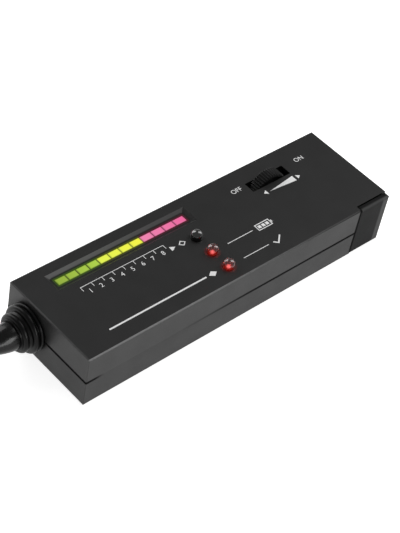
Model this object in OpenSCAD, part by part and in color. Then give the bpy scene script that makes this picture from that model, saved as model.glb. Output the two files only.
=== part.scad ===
// Handheld gem tester: a moulded two-shell case with a bevelled lamp bar window,
// three signal lamps, a knurled volume wheel, a slide-off battery cap and a ribbed
// rubber boot that carries a tapered probe with a sprung metal tip.
// X runs along the case towards the battery cap, Y to the back and Z up.
// The origin is the centre of the case's bottom face.

/* [Case] */
// Length of the case without the probe
body_l = 160; // [156:1:175]
// Width of the case
body_w = 47; // [46.5:0.5:54]
// Height of the case
body_h = 25; // [24.5:0.5:30]
// Thickness of the moulded walls
wall = 2; // [1.8:0.1:2.3]
// Height of the parting line between the two shells
parting_z = 12.6; // [11.6:0.1:12.8]
// Radius of the upright corners
corner_r = 0.5; // [0.3:0.1:1.2]
// Radius along the top and bottom edges
edge_r = 0.6; // [0.3:0.1:1]
// Height of the lip that keys the two shells together
lip_h = 1.2; // [0.8:0.1:1.6]
// Thickness of that lip
lip_t = 0.9; // [0.6:0.1:1]
// Widest gap of the parting line, at its open ends
seam_gap = 0.45; // [0.3:0.05:0.55]
// Length of the open parting line at the probe end
seam_front_l = 8; // [4:1:12]
// Length of the open parting line towards the cap
seam_back_l = 80; // [40:5:90]

/* [Battery cap] */
// Length of the cap along the case
cap_l = 17.6; // [15:0.2:18.2]
// Thickness of the cap's side walls
cap_side = 2.5; // [2.2:0.1:2.8]
// How far the cap's front wall stops below the top face
cap_drop = 0.4; // [0.3:0.1:1]
// Radius of the cap's two outer upright edges
cap_corner_r = 1.2; // [0.6:0.2:2]
// Radius along the cap's top and bottom edges
cap_edge_r = 1.2; // [0.6:0.1:1.4]
// Gap between the cap and the shells
cap_gap = 0.4; // [0.2:0.05:0.5]
// Width of the inner ledges that run under the top plate
ledge_w = 1.2; // [0.8:0.1:1.4]
// Thickness of those ledges
ledge_t = 1.5; // [1:0.1:2]
// Number of grip grooves under the cap
grip_count = 5; // [3:1:6]
// Width of one grip groove
grip_w = 0.8; // [0.5:0.1:1]

/* [Lamp bar] */
// Distance of the bar's middle from the probe end
bar_from_front = 46.9; // [46.4:0.1:52]
// Distance of the bar's middle line from the back edge
bar_from_back = 9.35; // [9:0.05:10]
// Length of the window's outer bevel
win_l = 69.5; // [69:0.1:71]
// Width of the window's outer bevel
win_w = 8.8; // [8.2:0.1:9.4]
// Depth of the window's floor
win_depth = 1.2; // [0.8:0.1:1.4]
// Width of the bevel, seen from above
win_bevel = 1.5; // [1:0.1:1.6]
// Number of lamps of each colour in the bar
bar_group = 4; // [3:1:4]
// Distance from lamp to lamp of the middle colour
bar_pitch = 5.36; // [5.2:0.02:5.42]
// How much that distance grows from one colour to the next
bar_growth = 0.3; // [0:0.05:0.4]
// Gap between two lamp faces
seg_gap = 0.45; // [0.3:0.05:0.7]
// Width of one lamp face
seg_w = 2.9; // [2.6:0.05:3.3]
// Height of one lamp block
seg_h = 7; // [5:0.5:8]

/* [Signal lamps] */
// Distance of the lamps' row from the probe end
lamp_from_front = 74.6; // [74:0.2:80]
// Place of the middle lamp across the case
lamp_mid_y = -7; // [-8:0.1:-6]
// Distance from lamp to lamp
lamp_pitch = 9.4; // [8.6:0.1:9.6]
// Diameter of a lamp
lamp_d = 5; // [4.6:0.1:5.2]
// Straight part of a lamp above the top face
lamp_rise = 1.2; // [0.8:0.1:2]
// Width of a lamp's flange beyond its barrel
lamp_flange = 0.4; // [0.3:0.05:0.5]
// Thickness of a lamp's flange
lamp_flange_t = 1; // [0.8:0.1:1.2]

/* [Volume wheel] */
// Distance of the wheel's axis from the cap end
wheel_from_back = 37.3; // [35:0.1:40]
// Distance of the wheel's middle from the inside of the back wall
wheel_from_wall = 9.5; // [9:0.1:9.8]
// Diameter of the wheel
wheel_d = 17; // [15.5:0.5:18]
// Width of the wheel
wheel_w = 4.6; // [4:0.1:4.8]
// How far the wheel stands out of the top face
wheel_rise = 3.8; // [3:0.1:4.2]
// Number of knurls round the rim
knurl_count = 44; // [36:1:52]
// Depth of one knurl
knurl_depth = 0.5; // [0.3:0.05:0.6]
// Length of the slot that the wheel comes through
slot_l = 21; // [20:0.5:22]
// Width of that slot
slot_w = 5.5; // [5.3:0.1:6]
// Diameter of the spindle
spindle_d = 4; // [3.6:0.1:4.4]
// Radial running clearance of the spindle
spindle_gap = 0.05; // [0.03:0.01:0.08]
// Thickness of the potentiometer's housing
pot_t = 4.3; // [4:0.1:4.5]

/* [Circuit board] */
// Height of the board's standoffs above the floor
board_stand = 6.6; // [6:0.1:6.8]
// Thickness of the board
board_t = 1.6; // [1.2:0.1:1.6]
// Distance of the board's near end from the probe end
board_from_front = 13; // [12.5:0.1:13.4]
// Radius of the board's standoffs
stand_r = 3; // [2.6:0.1:3.2]

/* [Battery] */
// Length of the battery block without its studs
batt_l = 46.4; // [45:0.2:47]
// Width of the battery block
batt_w = 26.5; // [25.5:0.1:26.6]
// Height of the battery block
batt_h = 17.5; // [16.5:0.1:17.8]
// Distance of the battery from the inside of the front wall
batt_from_wall = 2.2; // [2.1:0.1:2.3]
// Distance of the battery from the cap's end wall
batt_from_cap = 2.4; // [1:0.1:3]
// Length of the battery's studs
stud_l = 2.6; // [2.2:0.1:2.8]
// Height of the rails that carry the battery
rail_h = 1.2; // [1:0.1:1.4]

/* [Probe] */
// Place of the probe across the case
probe_y = 10.1; // [9.8:0.1:10.8]
// Height of the probe's axis
probe_z = 12.8; // [12.2:0.1:12.9]
// Radius of the hole that the boot sits in
boot_hole_r = 8; // [7.6:0.1:8.4]
// Radius of the boot's flange on the end face
boot_r = 9.9; // [9.6:0.1:10.4]
// Distance from rib to rib of the boot
rib_pitch = 3.4; // [3.3:0.1:3.7]
// Radius of the probe inside the boot
probe_r = 5.8; // [5.6:0.1:6.2]
// Distance of the probe's shoulder from the end face
shoulder_z = 8.6; // [8.5:0.1:10]
// Length of the shoulder's curve
shoulder_l = 15; // [13:0.5:18]
// Radius of the probe's neck past the shoulder
neck_r = 3; // [2.9:0.1:3.8]
// Radius of the probe at its front end
nose_r = 2.9; // [2.8:0.1:3.1]
// Distance of the probe's front end from the end face
nose_z = 40; // [37:0.5:44]
// Length of the metal collar in front of the probe
collar_l = 6; // [5:0.5:7]
// Length of the bare tip in front of the collar
tip_l = 6; // [5:0.5:7]
// Radius of the tip
tip_r = 0.85; // [0.7:0.05:0.95]
// Travel of the sprung tip
tip_travel = 1.5; // [1:0.1:1.8]
// Number of turns of the tip's spring
spring_turns = 5; // [4:1:5]

/* [Fasteners] */
// Distance of the front case screws from the probe end
screw_from_front = 9.5; // [9.3:0.1:9.7]
// Distance of the back case screws from the front of the battery bay
screw_from_back = 3.1; // [2.9:0.1:3.5]
// Distance of the case screws from the inside of the side walls
screw_from_wall = 2; // [1.8:0.1:2.4]
// Radius of a case screw's shank
screw_r = 1.25; // [1.1:0.05:1.3]
// Radius of a case screw's head
screw_head_r = 2.5; // [2.2:0.1:2.6]
// Radius of a board screw's shank
board_screw_r = 1; // [0.9:0.05:1.1]

/* [Hidden] */
$fn = 48;

// Clearance of pieces that seat on each other and do not move
fit = 0.05;
// Clearance of a pushed-in or dropped-in piece
loose = 0.1;
// Clearance under a piece that slides
slide_gap = 0.2;
// Clearance between a piece on the board and the top plate
roof_gap = 0.3;
// Overshoot of a cut past the face that it opens
cut = 1;
// Radius of the leads' wire
lead_r = 0.6;
// Thickness of a lamp's or a chip's legs
leg_t = 0.5;
// Distance between a lamp's two legs
leg_pitch = 2.54;

x_front = -body_l / 2;
x_back = body_l / 2;
in_w = body_w / 2 - wall;
under_z = body_h - wall;
seam_x = x_back - cap_l;
cap_in = body_w / 2 - cap_side;
plate_half = cap_in - cap_gap;
lip_gap = loose;

bar_x = x_front + bar_from_front;
bar_y = body_w / 2 - bar_from_back;
bar_count = 3 * bar_group;
bar_l = bar_count * bar_pitch - seg_gap;
bar_x0 = bar_x - (bar_l + seg_gap) / 2;
win_floor_z = body_h - win_depth;
pad_t = 1;
pad_z = under_z - pad_t;
pad_margin = 1.4;
holder_rim = 0.3;
holder_flange = 0.7;
holder_h = 4.5;
holder_leg_r = 1.4;

lamp_x = x_front + lamp_from_front;
lamp_flange_z = under_z - fit - lamp_flange_t;

wheel_x = x_back - wheel_from_back;
wheel_y = in_w - wheel_from_wall;
wheel_z = body_h + wheel_rise - wheel_d / 2;
pot_gap = 0.35;
pot_y = wheel_y + wheel_w / 2 + pot_gap;
pot_r = 6.2;
hub_r = 3.6;
rim_t = 1.6;
dish_depth = 0.6;
dish_r = wheel_d / 2 - rim_t;
spindle_flange_w = 0.4;
spindle_flange_t = 0.8;
wheel_screw_r = 0.8;
wheel_screw_head_r = 2.2;
wheel_screw_head_t = 1.1;
wheel_screw_l = 6;

board_z = wall + board_stand;
board_top = board_z + board_t;
batt_x1 = x_back - wall - batt_from_cap;
batt_x0 = batt_x1 - batt_l;
batt_y0 = -in_w + batt_from_wall;
batt_mid_y = batt_y0 + batt_w / 2;
batt_z0 = wall + rail_h + slide_gap;
batt_mid_z = batt_z0 + batt_h / 2;
batt_edge_r = 2.5;
stud_pitch = 12.7;
stud_small_r = 2.8;
stud_large_r = 4.3;
snap_t = 4;
snap_margin_h = 1.5;
snap_margin_w = 1;
snap_x = batt_x0 - snap_t - loose;
snap_room = 1;
bulkhead_t = 1.2;
bulkhead_x = snap_x - snap_room - bulkhead_t;
divider_gap = 0.4;
divider_y = batt_y0 + batt_w + divider_gap;
board_end_gap = 0.8;
board_side_gap = 1;
board_x0 = x_front + board_from_front;
board_x1 = bulkhead_x - board_end_gap;
board_half = in_w - board_side_gap;
arm_margin = 3;
arm_gap = 0.5;
arm_x1 = wheel_x + pot_r + arm_margin;
arm_y0 = divider_y + bulkhead_t + arm_gap;

post_r = 3.4;
post_y = in_w - screw_from_wall;
post_x = [x_front + screw_from_front, bulkhead_x - screw_from_back];
post_gap = 0.1;
screw_head_t = 1.8;
screw_sink = 2;
screw_bite = 6;
screw_tip_z = parting_z + screw_bite;
board_screw_from_front = 6;
board_screw_from_bay = 3.6;
board_screw_from_wall = 8.5;
board_screw_near_y = board_screw_from_wall - in_w;
board_screw_far_y = 6;
board_screw_x = [board_x0 + board_screw_from_front, board_x1 - board_screw_from_bay];
board_screw_y = [board_screw_near_y, board_screw_far_y];
board_screw_head_r = 2.1;
board_screw_head_t = 1.4;
board_screw_bite = 4;

chip_l = 23;
chip_w = 6.4;
chip_t = 3.4;
chip_shift = 10;
chip_x = bar_x - chip_shift;
chip_far_y = 4.5;
chip_pitch = 12;
chip_legs = 9;
chip_leg_h = 1;
chip_notch_r = 1;
capacitor_r = 3.2;
capacitor_h = 10.5;
capacitor_from_lamps = 9;
capacitor_x = lamp_x - capacitor_from_lamps;
capacitor_far_y = 5;
capacitor_pitch = 8.5;
bead_z = 1.6;
bead_r = 0.6;
bead_depth = 0.4;
trimmer_s = 6.4;
trimmer_t = 4.6;
trimmer_from_chips = 6;
trimmer_x = chip_x + chip_l / 2 + trimmer_from_chips;
trimmer_far_y = 4.5;
trimmer_pitch = 7.3;
trimmer_screw_t = 0.8;
trimmer_slot_w = 0.6;
trimmer_slot_d = 0.5;
buzzer_r = 6;
buzzer_h = 7;
buzzer_hole_r = 1;
buzzer_hole_d = 1;
buzzer_from_lamps = 15;
buzzer_x = lamp_x - buzzer_from_lamps;
buzzer_from_wall = 8.5;
buzzer_y = buzzer_from_wall - in_w;
lead_spread = 2;

rib_r = 1.3;
rib_drops = [0.05, 1.85];
rib_z0 = 3.1;
boot_rim_r = 0.8;
boot_mouth_t = 0.8;
boot_mouth_l = 2;
boot_end_z = rib_z0 + rib_pitch + boot_mouth_l;
boot_flange_w = 1.8;
boot_flange_r = boot_hole_r + boot_flange_w;
boot_flange_t = 1.9;
probe_tail_l = 1.4;
probe_tail_z = -wall - loose - boot_flange_t - probe_tail_l;
lead_bore_r = 1.7;
chamber_r = 2.1;
chamber_l = 12;
collar_seat_l = 3.5;
collar_step = 0.3;
spring_seat_z = nose_z - chamber_l;
tip_stop_z = nose_z - collar_seat_l;
tip_flange_r = 1.9;
tip_flange_t = 1.2;
tip_tail_r = 0.75;
tip_tail_reach = 0.6;
tip_tail_z = spring_seat_z - tip_tail_reach;
tip_cone_l = 2.6;
tip_point_r = 0.12;
tip_gap = 0.06;
collar_back_r = chamber_r - fit;
collar_front_r = 1.6;
spring_r = 1.45;
spring_wire_r = 0.22;
spring_z0 = spring_seat_z + spring_wire_r + fit;
spring_z1 = tip_stop_z - fit - tip_flange_t - spring_wire_r - fit;
spring_steps = 8;
lead_room = 1;
lead_end_z = tip_tail_z - tip_travel - lead_room;

// Rounded rectangle centred on the origin
module rounded_rect(l, w, r) {
    square([l - 2 * r, w], center = true);
    square([l, w - 2 * r], center = true);
    for (sx = [-1, 1], sy = [-1, 1])
        translate([sx * (l / 2 - r), sy * (w / 2 - r)])
            circle(r);
}

// Whole case as one block up to the height h, with upright edges of plan_r and level ones of side_r
module case_block(h, plan_r, side_r) {
    intersection() {
        translate([0, 0, -cut])
            linear_extrude(h + 2 * cut)
                rounded_rect(body_l, body_w, plan_r);
        rotate([90, 0, 90])
            linear_extrude(body_l + 2 * cut, center = true)
                translate([0, h / 2])
                    rounded_rect(body_w, h, side_r);
        rotate([90, 0, 0])
            linear_extrude(body_w + 2 * cut, center = true)
                translate([0, h / 2])
                    rounded_rect(body_l, h, side_r);
    }
}

// Box from a low corner to a high corner
module box(low, high) {
    translate(low)
        cube(high - low);
}

// Hollow of the case, open at the cap end
module cavity() {
    box([x_front + wall, -in_w, wall], [x_back + cut, in_w, under_z]);
}

// Everything past the cap's seam, apart from the tongue of the top plate over its back wall
module cap_space() {
    difference() {
        box([seam_x, -body_w, -cut], [x_back + 2 * cut, body_w, body_h + cut]);
        box([seam_x - cut, -plate_half, under_z], [x_back + 3 * cut, 2 * body_w, body_h + 2 * cut]);
    }
}

// Ring along the inside of the walls, t thick, from the height z to h above the parting line
module lip_ring(t, z, h) {
    difference() {
        box([x_front + wall - t, -in_w - t, z], [seam_x - lip_gap, in_w + t, parting_z + h]);
        box([x_front + wall, -in_w, z - cut], [x_back, in_w, parting_z + h + cut]);
    }
}

// Hole of the boot through the end wall
module boot_hole() {
    translate([x_front - cut, probe_y, probe_z])
        rotate([0, 90, 0])
            cylinder(r = boot_hole_r, h = wall + 2 * cut);
}

// Places the children at each of the four case screws
module at_posts() {
    for (x = post_x, sy = [-1, 1])
        translate([x, sy * post_y, 0])
            children();
}

// Places the children at each of the four board screws
module at_board_screws() {
    for (x = board_screw_x, y = board_screw_y)
        translate([x, y, 0])
            children();
}

// Places the children at signal lamp i, counted from the back
module at_lamp(i) {
    translate([lamp_x, lamp_mid_y + (1 - i) * lamp_pitch, 0])
        children();
}

// Colour group of lamp i of the bar
function group_of(i) = floor(i / bar_group);

// Distance from lamp to lamp in the colour group g
function pitch_of(g) = bar_pitch + (g - 1) * bar_growth;

// Distance of the colour group g from the start of the bar
function group_start(g) = g * bar_group * (pitch_of(0) + pitch_of(g - 1)) / 2;

// Length of the face of lamp i of the bar
function seg_l(i) = pitch_of(group_of(i)) - seg_gap;

// Place of the middle of lamp i along the case
function seg_x(i) = bar_x0 + group_start(group_of(i)) + (i % bar_group + 0.5) * pitch_of(group_of(i));

// Places the children at lamp i of the bar
module at_segment(i) {
    translate([seg_x(i), bar_y, 0])
        children();
}

// Turns local Z to run out of the end face along the probe
module along_probe() {
    translate([x_front, probe_y, probe_z])
        rotate([0, -90, 0])
            children();
}

// Bevel profile that is w wide at the top face
module bevel_profile(w) {
    slope = win_bevel / win_depth;
    polygon([
        [-w / 2 - slope * cut, cut], [w / 2 + slope * cut, cut],
        [w / 2 - win_bevel, -win_depth], [win_bevel - w / 2, -win_depth]
    ]);
}

// Bevelled recess of the lamp bar with mitred corners
module window_cut() {
    translate([bar_x, bar_y, body_h])
        intersection() {
            rotate([90, 0, 0])
                linear_extrude(win_w + 4 * cut, center = true)
                    bevel_profile(win_l);
            rotate([90, 0, 90])
                linear_extrude(win_l + 4 * cut, center = true)
                    bevel_profile(win_w);
        }
}

// Upper shell with the panel: window, lamp holes, wheel slot and screw bosses
module top_shell() {
    color("#333332")
        difference() {
            union() {
                difference() {
                    intersection() {
                        case_block(body_h, corner_r, edge_r);
                        box([-body_l, -body_w, parting_z], [body_l, body_w, body_h + cut]);
                    }
                    cavity();
                    cap_space();
                }
                translate([bar_x, bar_y, pad_z + pad_t])
                    cube([win_l + pad_margin, win_w + pad_margin, 2 * pad_t], center = true);
                at_posts()
                    translate([0, 0, parting_z + post_gap])
                        cylinder(r = post_r, h = under_z - parting_z);
            }
            window_cut();
            translate([bar_x, bar_y, pad_z - cut])
                linear_extrude(wall + pad_t + cut)
                    square([bar_l + 2 * holder_rim + 2 * loose, seg_w + 2 * holder_rim + 2 * loose],
                        center = true);
            for (i = [0 : 2])
                at_lamp(i)
                    translate([0, 0, under_z - cut])
                        cylinder(d = lamp_d + 2 * loose, h = wall + 2 * cut);
            translate([wheel_x, wheel_y, body_h - wall / 2])
                cube([slot_l, slot_w, wall + 2 * cut], center = true);
            at_posts()
                cylinder(r = screw_r + fit, h = screw_tip_z + cut);
            lip_ring(lip_t + lip_gap, parting_z - cut, lip_h + lip_gap);
            boot_hole();
        }
}

// Lower shell: floor, lip, screw posts, board standoffs and battery bay
module bottom_shell() {
    color("#343434")
        difference() {
            union() {
                difference() {
                    intersection() {
                        case_block(body_h, corner_r, edge_r);
                        box([-body_l, -body_w, -cut], [seam_x, body_w, parting_z]);
                    }
                    cavity();
                    seam_wedges();
                }
                difference() {
                    lip_ring(lip_t, parting_z - 2 * seam_gap, lip_h);
                    at_posts()
                        translate([0, 0, parting_z - cut])
                            cylinder(r = post_r + slide_gap, h = lip_h + 2 * cut);
                }
                at_posts()
                    translate([0, 0, wall / 2])
                        cylinder(r = post_r, h = parting_z - wall / 2);
                at_board_screws()
                    translate([0, 0, wall / 2])
                        cylinder(r = stand_r, h = board_z - fit - wall / 2);
                battery_bay();
            }
            at_posts() {
                translate([0, 0, -cut])
                    cylinder(r = screw_head_r + slide_gap, h = screw_sink + screw_head_t + cut);
                cylinder(r = screw_r + slide_gap, h = parting_z + cut);
            }
            at_board_screws()
                translate([0, 0, wall])
                    cylinder(r = board_screw_r + fit, h = board_z);
            boot_hole();
        }
}

// Thin wedges that open the parting line towards both ends
module seam_wedges() {
    rotate([90, 0, 0])
        linear_extrude(body_w + 2 * cut, center = true) {
            polygon([
                [x_front - cut, parting_z + cut], [x_front - cut, parting_z - seam_gap],
                [x_front, parting_z - seam_gap], [x_front + seam_front_l, parting_z],
                [x_front + seam_front_l, parting_z + cut]
            ]);
            polygon([
                [seam_x - seam_back_l, parting_z], [seam_x, parting_z - seam_gap],
                [seam_x + cut, parting_z - seam_gap], [seam_x + cut, parting_z + cut],
                [seam_x - seam_back_l, parting_z + cut]
            ]);
        }
}

// Rails, bulkhead, divider and the tongue that guides the cap
module battery_bay() {
    rail_w = 3;
    tongue_l = 5;
    bay_h = parting_z - 2 * seam_gap;
    for (y = [batt_y0 + rail_w, batt_y0 + batt_w - 2 * rail_w])
        box([bulkhead_x, y, wall / 2], [seam_x, y + rail_w, wall + rail_h]);
    box([bulkhead_x, -in_w - wall / 2, wall / 2],
        [bulkhead_x + bulkhead_t, divider_y + bulkhead_t, bay_h]);
    box([bulkhead_x, divider_y, wall / 2], [seam_x - cut, divider_y + bulkhead_t, bay_h]);
    box([seam_x - tongue_l, batt_y0 + rail_w, wall / 2],
        [seam_x, batt_y0 + batt_w - rail_w, wall + rail_h]);
    box([seam_x - cut, batt_y0 + rail_w, wall + slide_gap],
        [seam_x + tongue_l, batt_y0 + batt_w - rail_w, wall + rail_h]);
}

// End cap of the battery bay, which slides off along the case; its front wall rises beside the top plate
module battery_cap() {
    ledge_z = under_z - slide_gap;
    grip_pitch = 2 * grip_w;
    grip_from_seam = 4;
    cap_x = seam_x + cap_gap;
    color("#262626")
        union() {
            difference() {
                intersection() {
                    case_block(body_h - cap_drop, cap_corner_r, cap_edge_r);
                    box([cap_x, -body_w, -cut], [x_back + cut, body_w, body_h]);
                }
                box([seam_x - cut, -cap_in, wall], [x_back - wall, cap_in, body_h]);
                box([seam_x - cut, -cap_in, ledge_z], [x_back + cut, body_w, body_h]);
                for (i = [0 : grip_count - 1])
                    translate([cap_x + grip_from_seam + i * grip_pitch, 0, 0])
                        cube([grip_w, body_w / 2, grip_w], center = true);
            }
            for (sy = [-1, 1])
                translate([(cap_x + x_back) / 2, sy * (cap_in - ledge_w / 2 + fit), ledge_z - ledge_t / 2])
                    cube([x_back - cap_x - wall, ledge_w + 2 * fit, ledge_t], center = true);
        }
}

// Screw with a chamfered pan head, standing on its head
module pan_screw(shank_r, shank_l, head_r, head_t) {
    rotate_extrude()
        polygon([
            [0, 0], [head_r * 0.7, 0], [head_r, head_t * 0.6], [head_r, head_t],
            [shank_r, head_t], [shank_r, head_t + shank_l - shank_r],
            [shank_r * 0.4, head_t + shank_l], [0, head_t + shank_l]
        ]);
}

// Cross recess of a screw's head
module cross_recess(head_r, head_t) {
    for (a = [0, 90])
        rotate(a)
            cube([head_r * 1.2, head_r * 0.28, head_t], center = true);
}

// Four screws that hold the shells together, driven from below
module case_screws() {
    shank_l = screw_tip_z - screw_sink - screw_head_t - cut;
    color("#8d8f92")
        at_posts()
            translate([0, 0, screw_sink - fit])
                difference() {
                    pan_screw(screw_r, shank_l, screw_head_r, screw_head_t);
                    cross_recess(screw_head_r, screw_head_t);
                }
}

// L-shaped board with an arm under the wheel
module circuit_board() {
    color("#1f5a33")
        translate([0, 0, board_z])
            linear_extrude(board_t)
                difference() {
                    union() {
                        translate([board_x0, -board_half])
                            square([board_x1 - board_x0, 2 * board_half]);
                        translate([board_x0, arm_y0])
                            square([arm_x1 - board_x0, board_half - arm_y0]);
                    }
                    at_posts()
                        circle(post_r + slide_gap);
                    at_board_screws()
                        circle(board_screw_r + slide_gap);
                }
}

// Four screws that hold the board on its standoffs
module board_screws() {
    shank_l = board_t + board_screw_bite;
    color("#9a9ca0")
        at_board_screws()
            translate([0, 0, board_top + board_screw_head_t + fit])
                rotate([180, 0, 0])
                    difference() {
                        pan_screw(board_screw_r, shank_l, board_screw_head_r, board_screw_head_t);
                        cross_recess(board_screw_head_r, board_screw_head_t);
                    }
}

// Moulded holder of the bar's lamps, with two legs on the board
module bar_holder() {
    flange_l = bar_l + 2 * holder_rim + 2 * holder_flange;
    flange_w = seg_w + 2 * holder_rim + 2 * holder_flange;
    leg_x = flange_l / 2 - holder_leg_r;
    top = pad_z - fit;
    color("#171717")
        difference() {
            union() {
                translate([bar_x, bar_y, top - holder_h])
                    linear_extrude(holder_h)
                        square([flange_l, flange_w], center = true);
                translate([bar_x, bar_y, top - cut])
                    linear_extrude(win_floor_z - top + cut)
                        square([bar_l + 2 * holder_rim, seg_w + 2 * holder_rim], center = true);
                for (sx = [-1, 1])
                    translate([bar_x + sx * leg_x, bar_y + flange_w / 2, board_top + fit])
                        cylinder(r = holder_leg_r, h = top - board_top - cut);
            }
            for (i = [0 : bar_count - 1])
                at_segment(i)
                    translate([0, 0, top - holder_h - cut])
                        linear_extrude(holder_h + wall + pad_t + 2 * cut)
                            square([seg_l(i) + 2 * fit, seg_w + 2 * fit], center = true);
        }
}

// One group of rectangular lamps of the bar with their legs
module bar_lamps(first) {
    top = win_floor_z + fit;
    for (i = [first : first + bar_group - 1])
        at_segment(i) {
            translate([-seg_l(i) / 2, -seg_w / 2, top - seg_h])
                cube([seg_l(i), seg_w, seg_h]);
            for (sx = [-1, 1])
                translate([sx * leg_pitch / 2 - leg_t / 2, -leg_t / 2, board_top + fit])
                    cube([leg_t, leg_t, top - seg_h - board_top]);
        }
}

module green_bar_lamps() {
    color("#a5cd37")
        bar_lamps(0);
}

module yellow_bar_lamps() {
    color("#f0f03c")
        bar_lamps(bar_group);
}

module red_bar_lamps() {
    color("#e65a96")
        bar_lamps(2 * bar_group);
}

// Round lamp with a flange under the panel, a domed top and two legs
module signal_lamp(i) {
    dome_z = body_h + lamp_rise;
    at_lamp(i) {
        translate([0, 0, lamp_flange_z])
            cylinder(r = lamp_d / 2 + lamp_flange, h = lamp_flange_t);
        translate([0, 0, lamp_flange_z])
            cylinder(d = lamp_d, h = dome_z - lamp_flange_z);
        translate([0, 0, dome_z])
            intersection() {
                sphere(d = lamp_d);
                cylinder(d = lamp_d + cut, h = lamp_d);
            }
        for (sx = [-1, 1])
            translate([sx * leg_pitch / 2 - leg_t / 2, -leg_t / 2, board_top + fit])
                cube([leg_t, leg_t, lamp_flange_z - board_top]);
    }
}

module verdict_lamp() {
    color("#101010")
        signal_lamp(0);
}

module battery_lamp() {
    color("#c81e14")
        signal_lamp(1);
}

module ready_lamp() {
    color("#c81e14")
        signal_lamp(2);
}

// Tubes that hold the signal lamps at their height above the board
module lamp_spacers() {
    color("#d8d5c8")
        for (i = [0 : 2])
            at_lamp(i)
                translate([0, 0, board_top + fit])
                    difference() {
                        cylinder(r = lamp_d / 2 + lamp_flange, h = lamp_flange_z - board_top - 2 * fit);
                        translate([0, 0, -cut])
                            cylinder(r = lamp_d / 2 - lamp_flange, h = lamp_flange_z - board_top + 2 * cut);
                    }
}

// Turns local Z to run along the wheel's axis towards the back
module along_wheel(y) {
    translate([wheel_x, y, wheel_z])
        rotate([-90, 0, 0])
            children();
}

// Knurled thumbwheel with a dished web and a hub
module volume_wheel() {
    color("#202020")
        along_wheel(wheel_y)
            difference() {
                linear_extrude(wheel_w, center = true)
                    difference() {
                        circle(d = wheel_d);
                        for (i = [0 : knurl_count - 1])
                            rotate((i + 0.5) * 360 / knurl_count)
                                translate([wheel_d / 2, 0])
                                    rotate(45)
                                        square(knurl_depth * sqrt(2), center = true);
                    }
                for (sz = [-1, 1])
                    translate([0, 0, sz * wheel_w / 2])
                        difference() {
                            cylinder(r = dish_r, h = 2 * dish_depth, center = true);
                            cylinder(r = hub_r, h = 2 * dish_depth + cut, center = true);
                        }
                cylinder(r = spindle_d / 2 + spindle_gap, h = wheel_w + cut, center = true);
            }
}

// Screw that holds the wheel on its spindle
module wheel_screw() {
    head_y = wheel_y - wheel_w / 2 - fit - wheel_screw_head_t;
    color("#8d8f92")
        along_wheel(head_y)
            difference() {
                pan_screw(wheel_screw_r, wheel_screw_l, wheel_screw_head_r, wheel_screw_head_t);
                cross_recess(wheel_screw_head_r, wheel_screw_head_t);
            }
}

// Spindle of the potentiometer with its rear flange
module wheel_spindle() {
    front = wheel_y - wheel_w / 2 + 2 * fit;
    back = pot_y + pot_t + loose;
    color("#b9a26a")
        difference() {
            union() {
                along_wheel(front)
                    cylinder(d = spindle_d, h = back - front + spindle_flange_t / 2);
                along_wheel(back)
                    cylinder(r = spindle_d / 2 + spindle_flange_w, h = spindle_flange_t);
            }
            along_wheel(front - cut)
                cylinder(r = wheel_screw_r + fit, h = wheel_screw_l + cut);
        }
}

// Potentiometer's housing, which stands on the board beside the wheel
module potentiometer() {
    flat = under_z - roof_gap - wheel_z;
    drop = wheel_z - board_top - fit;
    color("#3a2c22")
        along_wheel(pot_y)
            linear_extrude(pot_t)
                difference() {
                    union() {
                        intersection() {
                            circle(pot_r);
                            translate([-pot_r, -flat])
                                square([2 * pot_r, pot_r + flat]);
                        }
                        translate([-pot_r, 0])
                            square([2 * pot_r, drop]);
                    }
                    circle(spindle_d / 2 + spindle_gap);
                }
}

// Two bar drivers in their packages, with legs on both sides
module driver_chips() {
    color("#1a1a1c")
        for (i = [0, 1])
            translate([chip_x, chip_far_y - i * chip_pitch, board_top + fit]) {
                translate([0, 0, chip_leg_h + chip_t / 2])
                    difference() {
                        cube([chip_l, chip_w, chip_t], center = true);
                        translate([-chip_l / 2, 0, chip_t / 2])
                            cylinder(r = chip_notch_r, h = chip_notch_r, center = true);
                    }
                for (k = [0 : chip_legs - 1], sy = [-1, 1])
                    translate([(k - (chip_legs - 1) / 2) * leg_pitch - leg_t / 2,
                        sy * (chip_w / 2 + leg_t / 2) - leg_t / 2 - sy * fit, 0])
                        cube([leg_t, leg_t, chip_leg_h + chip_t / 2]);
            }
}

// Two electrolytic capacitors with a beaded can
module capacitors() {
    color("#2a3550")
        for (i = [0, 1])
            translate([capacitor_x, capacitor_far_y - i * capacitor_pitch, board_top + fit])
                rotate_extrude()
                    difference() {
                        square([capacitor_r, capacitor_h]);
                        translate([capacitor_r + bead_r - bead_depth, bead_z])
                            circle(bead_r);
                    }
}

// Two calibration trimmers with a slotted screw
module trimmers() {
    color("#2a56a8")
        for (i = [0, 1])
            translate([trimmer_x, trimmer_far_y - i * trimmer_pitch, board_top + fit])
                difference() {
                    union() {
                        translate([-trimmer_s / 2, -trimmer_s / 2, 0])
                            cube([trimmer_s, trimmer_s, trimmer_t]);
                        cylinder(r = trimmer_s / 3, h = trimmer_t + trimmer_screw_t);
                    }
                    translate([0, 0, trimmer_t + trimmer_screw_t])
                        cube([trimmer_s, trimmer_slot_w, 2 * trimmer_slot_d], center = true);
                }
}

// Round sounder with a hole in its top
module buzzer() {
    color("#141414")
        translate([buzzer_x, buzzer_y, board_top + fit])
            difference() {
                cylinder(r = buzzer_r, h = buzzer_h);
                translate([0, 0, buzzer_h - buzzer_hole_d])
                    cylinder(r = buzzer_hole_r, h = buzzer_hole_d + cut);
            }
}

// Turns local Z to run out of the battery's stud face towards the probe
module along_battery(x) {
    translate([x, batt_mid_y, batt_mid_z])
        rotate([0, -90, 0])
            children();
}

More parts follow.
